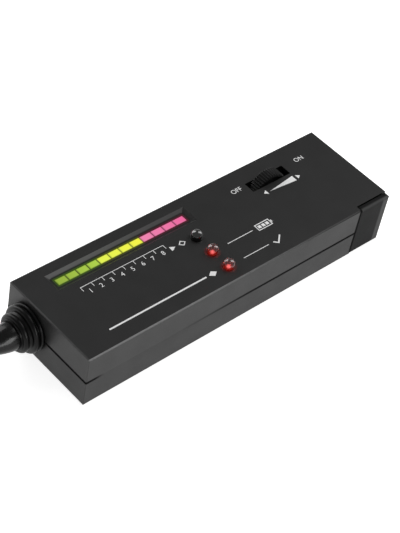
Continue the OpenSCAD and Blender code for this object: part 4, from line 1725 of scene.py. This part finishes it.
@dataclass
class SignalLamps:
    """Three domed lamps in a row: one dark and two lit."""

    flange: float = 0.4
    flange_height: float = 1.0
    core_radius: float = 0.5
    core_rise: float = 0.35
    cup_radius: float = 1.2
    cup_rim: float = 0.3
    panel_wall: float = 2.05
    legs: LegPair = LegPair(bevel=0.08)

    def build(self, lathe: Lathe, panel: float) -> None:
        """Make each lamp's lens, die, cup and legs.

        Args:
            lathe: The tree that turns them.
            panel: Height of the panel's top in millimetres.
        """
        red = RoundLens("red_lens", screen(225, 60, 50), 0.42, glow=screen(40, 3, 1), clear=1.0, foot=panel)
        dark = RoundLens("smoked_lens", grey(8), 0.07, glow=BLACK, clear=0.1, foot=panel)
        core = GlowCore("red_die", screen(240, 188, 198), 0.4, strength=1.7)
        cup = GlowCore("red_cup", screen(112, 34, 20), 0.4, strength=1.8)
        off = GlowCore("dark_die", grey(20), 0.5, strength=0.02)
        lamps = {
            "verdict_lamp": ("dark_lamp", dark, off, off),
            "battery_lamp": ("red_lamp", red, core, cup),
            "ready_lamp": ("red_lamp", red, core, cup),
        }
        under = panel - self.panel_wall
        foot = under - self.flange_height
        middle = panel + self.core_rise
        ball = arc((0.0, middle), self.core_radius, -90, 90, 16)
        bottom = middle - self.core_radius
        dish = [
            (0.0, bottom - 2 * self.cup_rim),
            (self.cup_radius, bottom - self.cup_rim),
            (self.cup_radius, bottom),
            (0.0, bottom - self.cup_rim),
        ]
        for node, (slot, lens, die, reflector) in lamps.items():
            low, high = box_mm(node)
            centre = tuple(middle_mm(node).xy)
            radius = (high.x - low.x) / 2 - self.flange
            place = Matrix.Translation((centre[0] * MM, centre[1] * MM, 0.0))
            profile = [
                (0.0, foot),
                (radius + self.flange, foot),
                (radius + self.flange, under),
                (radius, under),
                *arc((0.0, high.z - radius), radius, 0, 90, 20),
            ]
            carry(lathe.turn(f"{node}_lens", profile, place, lens, 64), Body.CASE, (node,))
            carry(lathe.turn(f"{node}_die", ball, place, die, 32), Body.CASE)
            carry(lathe.turn(f"{node}_cup", dish, place, reflector, 48), Body.CASE)
            pair = bmesh.new()
            self.legs.add(pair, centre, low.z, foot)
            mesh = as_mesh(pair, f"{node}_legs")
            mesh.materials.append(TurnedMetal("tinned_leg", (0.6, 0.6, 0.58), 0.3).material())
            carry(new_piece(f"{node}_legs", mesh), Body.CASE)


@dataclass
class VolumeWheel:
    """Knurled thumbwheel on its spindle."""

    knurls: int = 44
    knurl_depth: float = 0.5
    rim: float = 1.6
    dish: float = 0.6
    hub: float = 3.6
    bore: float = 2.05
    chamfer: float = 0.35
    steps_per_knurl: int = 10

    def build(self, lathe: Lathe) -> None:
        """Turn the wheel and dress what carries it.

        Args:
            lathe: The tree that turns it.
        """
        low, high = box_mm("volume_wheel")
        radius = (high.z - low.z) / 2
        half = (high.y - low.y) / 2
        upright = Matrix.Rotation(math.radians(-90), 4, "X")
        place = Matrix.Translation(middle_mm("volume_wheel") * MM) @ upright
        side = [
            (self.bore, half),
            (self.hub, half),
            (self.hub, half - self.dish),
            (radius - self.rim, half - self.dish),
            (radius - self.rim, half),
            *arc((radius - self.chamfer, half - self.chamfer), self.chamfer, 90, 0, 5),
        ]
        other = [(r, -z) for r, z in reversed(side)]
        piece = lathe.turn(
            "thumbwheel",
            [*side, *other, side[0]],
            place,
            SparkPlastic("wheel_finish", grey(20), 0.5, grain=0.3, grain_depth=0.02, gloss=0.25),
            self.knurls * self.steps_per_knurl,
            (self.knurls, self.knurl_depth, radius - self.rim / 2),
        )
        carry(piece, Body.WHEEL, ("volume_wheel",))
        plate = TurnedMetal("wheel_screw_plate", (0.5, 0.5, 0.52), 0.3, stretch=(1.0, 4.0, 1.0))
        brass = TurnedMetal("turned_brass", (0.58, 0.42, 0.17), 0.26, stretch=(0.6, 6.0, 0.6))
        dress("wheel_screw", plate)
        dress("wheel_spindle", brass)
        phenolic = SparkPlastic("phenolic", (0.05, 0.028, 0.017), 0.5, grain=0.4, grain_depth=0.02)
        dress("potentiometer", phenolic)


@dataclass
class Probe:
    """Ribbed boot and tapered probe with its collar and sprung tip."""

    rib_radius: float = 1.3
    rib_pitch: float = 3.4
    rib_start: float = 3.1
    rib_drops: tuple[float, float] = (0.05, 1.85)
    rim_radius: float = 0.8
    skin_steps: int = 84
    hole_radius: float = 8.0
    flange_radius: float = 9.8
    flange_height: float = 1.9
    wall: float = 2.0
    loose: float = 0.1
    mouth: float = 0.8
    shoulder: float = 8.6
    shoulder_length: float = 15.0
    shoulder_steps: int = 48
    neck: float = 3.0
    nose: float = 2.9
    nose_end: float = 40.0
    nose_lip: float = 0.25
    bore: float = 1.7
    chamber: float = 2.1
    chamber_length: float = 12.0
    collar_length: float = 6.0
    collar_seat: float = 3.5
    collar_step: float = 0.3
    collar_front: float = 1.6
    collar_edge: float = 0.15
    fit: float = 0.05
    tip_radius: float = 0.85
    tip_gap: float = 0.06
    tip_cone: float = 2.6
    tip_point: float = 0.12
    tip_flange: float = 1.9
    tip_flange_height: float = 1.2
    tip_tail: float = 0.75
    spring_wire: float = 0.22
    spring_turns: int = 5
    press: float = 1.5

    def build(self, lathe: Lathe, coil: Coil) -> None:
        """Turn the boot and the probe, wind the tip's spring, and dress the rest.

        Args:
            lathe: The tree that turns them.
            coil: The tree that winds the spring.
        """
        boot_low, boot_high = box_mm("probe_boot")
        barrel_low, barrel_high = box_mm("probe_barrel")
        tip_low, tip_high = box_mm("probe_tip")
        front = box_mm("bottom_shell")[0].x
        axis = Vector((front, *middle_mm("probe_boot").yz)) * MM
        place = Matrix.Translation(axis) @ Matrix.Rotation(math.radians(-90), 4, "Y")
        bore = (barrel_high.z - barrel_low.z) / 2
        boot = self._boot((boot_high.z - boot_low.z) / 2, front - boot_low.x, bore)
        barrel = self._barrel(bore, front - barrel_high.x)
        tip = self._tip(front - tip_high.x, front - tip_low.x)
        rubber = BootRubber("boot_finish", grey(8), 0.3)
        gloss = PolishedPlastic("probe_finish", grey(12), 0.24, gloss=0.2, coat=0.08)
        nickel = TurnedMetal("nickel", (0.62, 0.61, 0.59), 0.16)
        copper = TurnedMetal("copper_tip", (0.72, 0.36, 0.2), 0.24)
        turned = {
            "ribbed_boot": (boot, rubber, 128, Body.CASE, "boot_rubber", "probe_boot"),
            "smooth_probe": (barrel, gloss, 128, Body.CASE, "probe_plastic", "probe_barrel"),
            "turned_collar": (self._collar(), nickel, 96, Body.CASE, "collar_metal", "tip_collar"),
            "turned_tip": (tip, copper, 64, Body.TIP, "tip_metal", "probe_tip"),
        }
        for name, (section, finish, steps, body, slot, node) in turned.items():
            carry(lathe.turn(name, section, place, finish, steps), body, (node,))
        self._spring(coil, place, front)
        dress("probe_leads", PolishedPlastic("probe_lead_jacket", (0.4, 0.36, 0.3), 0.4))

    def _collar(self) -> list[Point]:
        """Section of the collar, with its sharp edges broken.

        Returns:
            The closed section, with distances from the end face as heights.
        """
        bore = self.tip_radius + self.tip_gap
        back = self.chamber - self.fit
        rim = self.nose - self.collar_step
        start, end, edge = self.nose_end + self.fit, self.nose_end + self.collar_length, self.collar_edge
        bend = self.nose_end + self.collar_length / 3
        slope = (rim - self.collar_front) / (end - edge - bend)
        return [
            (bore, self.nose_end - self.collar_seat),
            (back, self.nose_end - self.collar_seat),
            (back, start),
            (rim - edge, start),
            *arc((rim - edge, start + edge), edge, -90, 0, 4),
            (rim, bend - self.fit),
            (rim, bend),
            (rim - slope * self.fit, bend + self.fit),
            (self.collar_front + slope * self.fit, end - edge - self.fit),
            (self.collar_front, end - edge),
            (self.collar_front - edge, end),
            (bore, end),
            (bore, self.nose_end - self.collar_seat),
        ]

    def _tip(self, tail: float, end: float) -> list[Point]:
        """Section of the tip.

        Args:
            tail: Distance of its tail from the end face.
            end: Distance of its point from the end face.

        Returns:
            The section from the tail to the point.
        """
        flange = self.nose_end - self.collar_seat - self.fit
        blunt = self.tip_point
        bend = end - self.tip_cone
        slope = (self.tip_radius - blunt) / (self.tip_cone - blunt)
        return [
            (0.0, tail),
            (self.tip_tail, tail),
            (self.tip_tail, flange - self.tip_flange_height),
            (self.tip_flange, flange - self.tip_flange_height),
            (self.tip_flange, flange),
            (self.tip_radius, flange),
            (self.tip_radius, bend - self.fit),
            (self.tip_radius, bend),
            (self.tip_radius - slope * self.fit, bend + self.fit),
            *arc((0.0, end - blunt), blunt, 0, 90, 6),
        ]

    def _spring(self, coil: Coil, place: Matrix, front: float) -> None:
        """Wind the spring behind the tip.

        Args:
            coil: The tree that winds it.
            place: The probe's axis, from the end face outwards.
            front: Place of the end face.
        """
        low, high = box_mm("tip_spring")
        length = high.x - low.x
        seat = Matrix.Translation((0.0, 0.0, (front - high.x + self.spring_wire) * MM))
        piece = coil.wind(
            "return_spring",
            (high.z - low.z) / 2 - self.spring_wire,
            length - 2 * self.spring_wire,
            self.spring_turns,
            self.spring_wire,
            place @ seat,
            TurnedMetal("spring_steel", (0.55, 0.55, 0.57), 0.25),
        )
        carry(piece, Body.CASE, ("tip_spring",))
        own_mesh(piece)

    def _boot(self, radius: float, end: float, bore: float) -> list[Point]:
        """Section of the boot.

        Args:
            radius: Its largest radius.
            end: Distance of its mouth from the end face.
            bore: Radius of the probe in it.

        Returns:
            The closed section, with distances from the end face as heights.
        """
        back = -self.wall - self.loose
        groove = self.hole_radius - self.loose
        ribs = [
            (radius - self.rib_radius - drop, self.rib_start + i * self.rib_pitch)
            for i, drop in enumerate(self.rib_drops)
        ]
        mouth = (bore + self.mouth, end)
        rim = (radius - self.rim_radius, self.loose + self.rim_radius)
        start = rim[1] + self.rim_radius / 2
        heights = [start + (end - start) * i / self.skin_steps for i in range(self.skin_steps + 1)]
        skin = [(self._skin(z, rim, ribs, mouth), z) for z in heights]
        return [
            (bore, back - self.flange_height),
            (self.flange_radius, back - self.flange_height),
            (self.flange_radius, back),
            (groove, back),
            (groove, self.loose),
            *arc(rim, self.rim_radius, -90, 0, 8),
            *skin,
            (bore, end),
            (bore, back - self.flange_height),
        ]

    def _skin(self, z: float, rim: Point, ribs: Sequence[Point], mouth: Point) -> float:
        """Radius of the boot's ribbed skin.

        Args:
            z: Distance from the end face.
            rim: Centre of the rim on the end face.
            ribs: Centres of the ribs.
            mouth: Where the skin ends on the probe.

        Returns:
            The radius there.
        """
        line = [rim, *ribs, mouth]
        below = max(i for i, point in enumerate(line[:-1]) if point[1] <= z)
        (r0, z0), (r1, z1) = line[below], line[below + 1]
        radius = r0 + (r1 - r0) * (z - z0) / (z1 - z0)
        rounds = [(rim, self.rim_radius), *((rib, self.rib_radius) for rib in ribs)]
        for (centre, height), size in rounds:
            inside = size**2 - (z - height) ** 2
            if inside > 0:
                radius = max(radius, centre + math.sqrt(inside))
        return radius

    def _barrel(self, radius: float, tail: float) -> list[Point]:
        """Section of the probe.

        Args:
            radius: Its radius in the boot.
            tail: Distance of its back end from the end face, inside the case.

        Returns:
            The closed section.
        """
        seat = self.nose_end - self.chamber_length
        lip = self.nose_lip
        shoulder = []
        for i in range(self.shoulder_steps + 1):
            share = i / self.shoulder_steps
            fall = (1 + math.cos(math.pi * share)) / 2
            shoulder.append(
                (self.neck + (radius - self.neck) * fall, self.shoulder + self.shoulder_length * share)
            )
        return [
            (self.bore, tail),
            (radius, tail),
            *shoulder,
            *arc((self.nose - lip, self.nose_end - lip), lip, 0, 90, 5),
            (self.chamber, self.nose_end),
            (self.chamber, seat),
            (self.bore, seat),
            (self.bore, tail),
        ]


@dataclass
class PanelPrint:
    """White marks printed on the panel."""

    panel: float
    ink: PrintInk = PrintInk("white_ink", grey(240), 0.55)
    film: float = 0.035
    line: float = 0.24
    scale_y: float = 6.35
    scale_start: float = -60.27
    divisions: int = 8
    division: float = 5.1
    tick: float = 2.15
    digit: float = 2.1
    digit_y: float = 3.1
    pointer_gap: float = 3.6
    pointer: Point = (2.3, 1.25)
    gem: Point = (1.5, 1.2)
    gem_line: float = 0.4
    word: float = 2.2
    off_at: Point = (26.6, 13.7)
    on_at: Point = (62.4, 13.9)
    arrows: tuple[float, float] = (35.1, 55.7)
    arrows_y: float = 6.15
    arrow_head: Point = (1.8, 1.2)
    wedge_gap: float = 1.4
    wedge_halves: tuple[float, float] = (0.25, 1.5)
    leader: tuple[float, float] = (2.7, 16.2)
    leader_line: float = 0.3
    cell_at: Point = (22.2, -7.05)
    cell_half: Point = (3.6, 1.5)
    cell_line: float = 0.4
    cell_stud: float = 0.65
    stud_half: Point = (0.3, 0.6)
    charge_half: Point = (0.75, 0.75)
    charge_pitch: float = 2.05
    charge_shift: float = -0.1
    check_at: Point = (20.4, -16.4)
    check: tuple[Point, Point, Point] = ((-1.6, 0.1), (0.0, -1.4), (3.4, 1.7))
    check_line: float = 0.6
    rule: tuple[float, float] = (-64.5, -16.6)
    rule_y: float = -15.95
    rule_line: float = 0.7
    rule_gem_x: float = -13.2
    rule_gem: Point = (2.0, 1.4)

    def build(self, row: Row) -> None:
        """Print the scale, the wheel's marks, the lamps' signs and the rule.

        Args:
            row: The tree that repeats a tick.
        """
        self._scale()
        self._ticks(row)
        self._wheel_marks()
        self._lamp_signs()
        self._rule()

    def _heights(self) -> tuple[float, float]:
        """Heights of the film's underside, a little in the panel, and of its top."""
        return self.panel - self.film / 2, self.panel + self.film

    def _print(self, marks: FlatMarks, name: str) -> None:
        """Raise marks into a film that the case carries."""
        carry(marks.raise_film(name, *self._heights(), self.ink), Body.CASE)

    def _scale(self) -> None:
        """Print the line and the numbers of the scale, its pointer and a rhombus at its end."""
        marks = FlatMarks()
        end = self.scale_start + self.divisions * self.division
        half = self.line / 2
        marks.stroke([(self.scale_start - half, self.scale_y), (end + half, self.scale_y)], self.line)
        for i in range(self.divisions):
            middle = self.scale_start + (i + 0.5) * self.division
            marks.text(str(i + 1), (middle, self.digit_y), self.digit)
        tip, y = end + self.pointer_gap, self.digit_y
        length, half = self.pointer
        marks.polygon([(tip - length, y - half), (tip, y), (tip - length, y + half)])
        marks.stroke(rhombus((tip + self.pointer_gap, y), self.gem), self.gem_line, True)
        self._print(marks, "scale_print")

    def _ticks(self, row: Row) -> None:
        """Print the ticks that hang from the scale's line.

        Args:
            row: The tree that repeats a tick.
        """
        half = self.line / 2
        top = self.scale_y - half
        low, high = self._heights()
        tick = bevelled_box(
            (self.scale_start - half, top - self.tick + self.line, low), (self.scale_start + half, top, high)
        )
        mesh = as_mesh(tick, "scale_tick")
        carry(row.lay("scale_ticks", mesh, self.divisions + 1, (self.division, 0, 0), self.ink), Body.CASE)

    def _wheel_marks(self) -> None:
        """Print the switch's two ends and the wheel's direction."""
        marks = FlatMarks()
        marks.text("OFF", self.off_at, self.word)
        marks.text("ON", self.on_at, self.word)
        (left, right), y = self.arrows, self.arrows_y
        head, half = self.arrow_head
        marks.polygon([(left, y), (left + head, y - half), (left + head, y + half)])
        marks.polygon([(right, y), (right - head, y + half), (right - head, y - half)])
        thin, thick = self.wedge_halves
        start, end = left + head + self.wedge_gap, right - head - self.wedge_gap
        marks.polygon([(start, y - thin), (end, y - thick), (end, y + thick)])
        self._print(marks, "wheel_print")

    def _lamp_signs(self) -> None:
        """Print a battery and a check mark beside the two lit lamps, each on its leader line."""
        marks = FlatMarks()
        for y in (self.cell_at[1], self.check_at[1]):
            marks.stroke([(x, y) for x in self.leader], self.leader_line)
        x, y = self.cell_at
        marks.stroke(rectangle(self.cell_at, self.cell_half), self.cell_line, True)
        marks.polygon(rectangle((x + self.cell_half[0] + self.cell_stud, y), self.stud_half))
        for i in (-1, 0, 1):
            middle = x + self.charge_shift + i * self.charge_pitch
            marks.polygon(rectangle((middle, y), self.charge_half))
        x, y = self.check_at
        marks.stroke([(x + across, y + up) for across, up in self.check], self.check_line)
        self._print(marks, "lamp_print")

    def _rule(self) -> None:
        """Print a plain rule with a rhombus along the front of the panel."""
        marks = FlatMarks()
        marks.stroke([(x, self.rule_y) for x in self.rule], self.rule_line)
        marks.polygon(rhombus((self.rule_gem_x, self.rule_y), self.rule_gem))
        self._print(marks, "front_print")


@dataclass
class Electronics:
    """Circuit board and what stands on it."""

    chip_half_width: float = 3.2
    chip_leg: float = 0.5

    def dress(self) -> None:
        """Dress the board, its packages and its screws."""
        low, high = box_mm("driver_chips")
        reach = self.chip_half_width + self.chip_leg
        rows = (low.y + reach, high.y - reach)
        can_low, can_high = box_mm("capacitors")
        can_middle = (can_low.x + can_high.x) / 2
        finishes = {
            "circuit_board": BoardMask("solder_mask", (0.02, 0.14, 0.05), 0.34),
            "board_screws": TurnedMetal(
                "board_screw_plate", (0.55, 0.55, 0.56), 0.3, stretch=(1.0, 1.0, 4.0)
            ),
            "driver_chips": ChipPackage(
                "chip_finish", (0.011, 0.011, 0.012), 0.55, rows=rows, half_width=self.chip_half_width
            ),
            "capacitors": SleevedCan(
                "can_finish", (0.015, 0.03, 0.08), 0.35, top=can_high.z, middle_x=can_middle
            ),
            "trimmers": SparkPlastic(
                "trimmer_plastic", (0.02, 0.09, 0.42), 0.35, grain=0.3, grain_depth=0.01
            ),
            "buzzer": SparkPlastic("buzzer_plastic", (0.01, 0.01, 0.01), 0.42, grain=0.3, grain_depth=0.015),
            "lamp_spacers": SparkPlastic("nylon", (0.66, 0.63, 0.55), 0.45, grain=0.4, grain_depth=0.015),
        }
        for node, finish in finishes.items():
            dress(node, finish)


@dataclass
class Supply:
    """Battery with its snap connector and leads."""

    band_share: float = 0.3

    def dress(self) -> None:
        """Dress the battery in plain bands and the leads in their insulation."""
        snap_end = box_mm("battery_snap")[1].x
        band = snap_end + (box_mm("battery")[1].x - snap_end) * self.band_share
        dark = (0.012, 0.012, 0.012)
        wrap = BatteryWrap("battery_finish", (0.018, 0.019, 0.022), 0.32, stud_x=snap_end, band_x=band)
        dress("battery", wrap)
        dress("battery_snap", SparkPlastic("snap_plastic", dark, 0.5, grain=0.3, grain_depth=0.02))
        dress("red_lead", PolishedPlastic("red_jacket", (0.42, 0.02, 0.012), 0.38))
        dress("black_lead", PolishedPlastic("black_jacket", dark, 0.38))


@dataclass
class Softbox:
    """One soft light of the studio."""

    name: str
    azimuth: float
    elevation: float
    distance: float
    size: tuple[float, float]
    power: float
    aim: Corner = (0.0, 0.0, 20.0)
    roll: float = 0.0
    only_on: tuple[str, ...] = ()

    def build(self) -> None:
        """Hang the light and turn it to what it lights."""
        data = bpy.data.lights.new(self.name, "AREA")
        data.shape = "RECTANGLE"
        data.size, data.size_y = self.size
        data.energy = self.power
        light = bpy.data.objects.new(self.name, data)
        bpy.context.scene.collection.objects.link(light)
        away = direction(self.azimuth, self.elevation)
        light.location = Vector(self.aim) * MM + away * self.distance
        light.rotation_mode = "QUATERNION"
        roll = Quaternion((0, 0, 1), math.radians(self.roll))
        light.rotation_quaternion = away.to_track_quat("Z", "Y") @ roll
        if self.only_on:
            lit = bpy.data.collections.new(f"{self.name}_pieces")
            for piece in self.only_on:
                lit.objects.link(bpy.data.objects[piece])
            light.light_linking.receiver_collection = lit


def direction(azimuth: float, elevation: float) -> Vector:
    """Unit vector towards a place on the sky.

    Args:
        azimuth: Degrees round the object; 0 is in front, at -Y, and 90 at +X.
        elevation: Degrees above the horizon.

    Returns:
        The vector.
    """
    a, e = math.radians(azimuth), math.radians(elevation)
    return Vector((math.sin(a) * math.cos(e), -math.cos(a) * math.cos(e), math.sin(e)))


@dataclass
class Studio:
    """White floor, soft lights and the camera at the photograph's place."""

    image_height_px: float = 533.0
    focal_px: float = 1542.9
    sensor_mm: float = 36.0
    camera_mm: Corner = (-339.09, -279.60, 437.48)
    azimuth: float = -50.287
    elevation: float = 44.382
    roll: float = 11.962
    floor_size: float = 8.0
    floor_colour: Colour = (0.75, 0.75, 0.75)
    floor_white: float = 0.82
    white: Colour = (1.0, 1.0, 1.0)
    world_level: float = 0.28

    def build(self) -> None:
        """Set up the floor, the world, the lights and the camera."""
        bpy.context.scene.view_settings.view_transform = "Standard"
        self._floor()
        self._world()
        big = {"distance": 1.2, "size": (0.65, 1.3)}
        Softbox("back_softbox", azimuth=186, elevation=26, power=8.6, **big).build()
        Softbox("right_softbox", azimuth=80, elevation=42, power=8.2, **big).build()
        Softbox(
            "probe_strip",
            azimuth=4,
            elevation=20,
            distance=0.6,
            size=(0.2, 0.36),
            power=1.9,
            aim=(-92.0, 10.0, 13.0),
            roll=-34.0,
            only_on=("smooth_probe", "ribbed_boot"),
        ).build()
        self._camera()

    def _floor(self) -> None:
        """Lay a pale floor that is white to the camera and keeps the object's shadow."""
        half = self.floor_size / 2
        mesh = bpy.data.meshes.new("floor")
        corners = [(x, y, 0.0) for x, y in rectangle((0.0, 0.0), (half, half))]
        mesh.from_pydata(corners, [], [(0, 1, 2, 3)])
        graph = ShaderGraph("floor_white")
        graph.surface(Base_Color=self.floor_colour, Roughness=0.9, Specular_IOR_Level=0.0)
        white = {"Color": self.white, "Strength": seen(graph) * self.floor_white}
        both = {0: graph.principled, 1: graph.node("ShaderNodeEmission", white)}
        graph.feed(graph.output, "Surface", graph.node("ShaderNodeAddShader", both))
        mesh.materials.append(graph.material)
        new_piece("floor", mesh)

    def _world(self) -> None:
        """Light the object evenly from all round, and show white behind it."""
        world = bpy.data.worlds.new("studio")
        world.use_nodes = True
        bpy.context.scene.world = world
        graph = NodeGraph(world.node_tree)
        background = next(n for n in graph.tree.nodes if n.type == "BACKGROUND")
        camera_ray = graph.node("ShaderNodeLightPath").outputs["Is Camera Ray"]
        levels = {"Factor_Float": camera_ray, "A_Float": self.world_level, "B_Float": 1.0}
        graph.feed(background, "Color", self.white)
        graph.feed(background, "Strength", graph.node("ShaderNodeMix", levels))

    def _camera(self) -> None:
        """Place the camera as the photograph's perspective gives it."""
        data = bpy.data.cameras.new("photo_camera")
        data.sensor_fit = "AUTO"
        data.sensor_width = self.sensor_mm
        data.lens = self.focal_px * self.sensor_mm / self.image_height_px
        data.clip_start = 0.01
        data.clip_end = 50.0
        camera = bpy.data.objects.new("photo_camera", data)
        bpy.context.scene.collection.objects.link(camera)
        back = direction(self.azimuth, self.elevation)
        azimuth = math.radians(self.azimuth)
        level_right = Vector((math.cos(azimuth), math.sin(azimuth), 0.0))
        level_up = back.cross(level_right)
        roll = math.radians(self.roll)
        right = level_right * math.cos(roll) + level_up * math.sin(roll)
        up = level_up * math.cos(roll) - level_right * math.sin(roll)
        turn = Matrix((right, up, back)).transposed()
        camera.matrix_world = Matrix.Translation(Vector(self.camera_mm) * MM) @ turn.to_4x4()
        bpy.context.scene.camera = camera


def seen(graph: ShaderGraph) -> ShaderValue:
    """Tell the rays that look at a surface from those that light it.

    Args:
        graph: The material's graph.

    Returns:
        One for a camera, glossy or transmission ray, and nought for the rest.
    """
    path = graph.node("ShaderNodeLightPath").outputs
    rays = [ShaderValue(graph, path[f"Is {kind} Ray"]) for kind in ("Camera", "Glossy", "Transmission")]
    return rays[0].at_least(rays[1]).at_least(rays[2])


def main() -> None:
    """Build every sub-assembly in order, then the studio."""
    logging.basicConfig(level=logging.INFO, format="%(name)s: %(message)s")
    lathe, row = Lathe(), Row()
    panel = box_mm("top_shell")[1].z
    bar_low = box_mm("green_bar_lamps")[0]
    bar_high = box_mm("red_bar_lamps")[1]
    glow = LampGlow(
        middle=((bar_low.x + bar_high.x) / 2, (bar_low.y + bar_high.y) / 2),
        length=bar_high.x - bar_low.x,
        width=bar_high.y - bar_low.y,
        top=panel,
        lamps=tuple(tuple(middle_mm(lamp).xy) for lamp in ("battery_lamp", "ready_lamp")),
    )
    Case(glow).dress()
    BatteryCap().dress()
    LampBar().build(row, glow)
    SignalLamps().build(lathe, panel)
    VolumeWheel().build(lathe)
    Probe().build(lathe, Coil())
    PanelPrint(panel).build(row)
    Electronics().dress()
    Supply().dress()
    Studio().build()


if __name__ == "__main__":
    main()
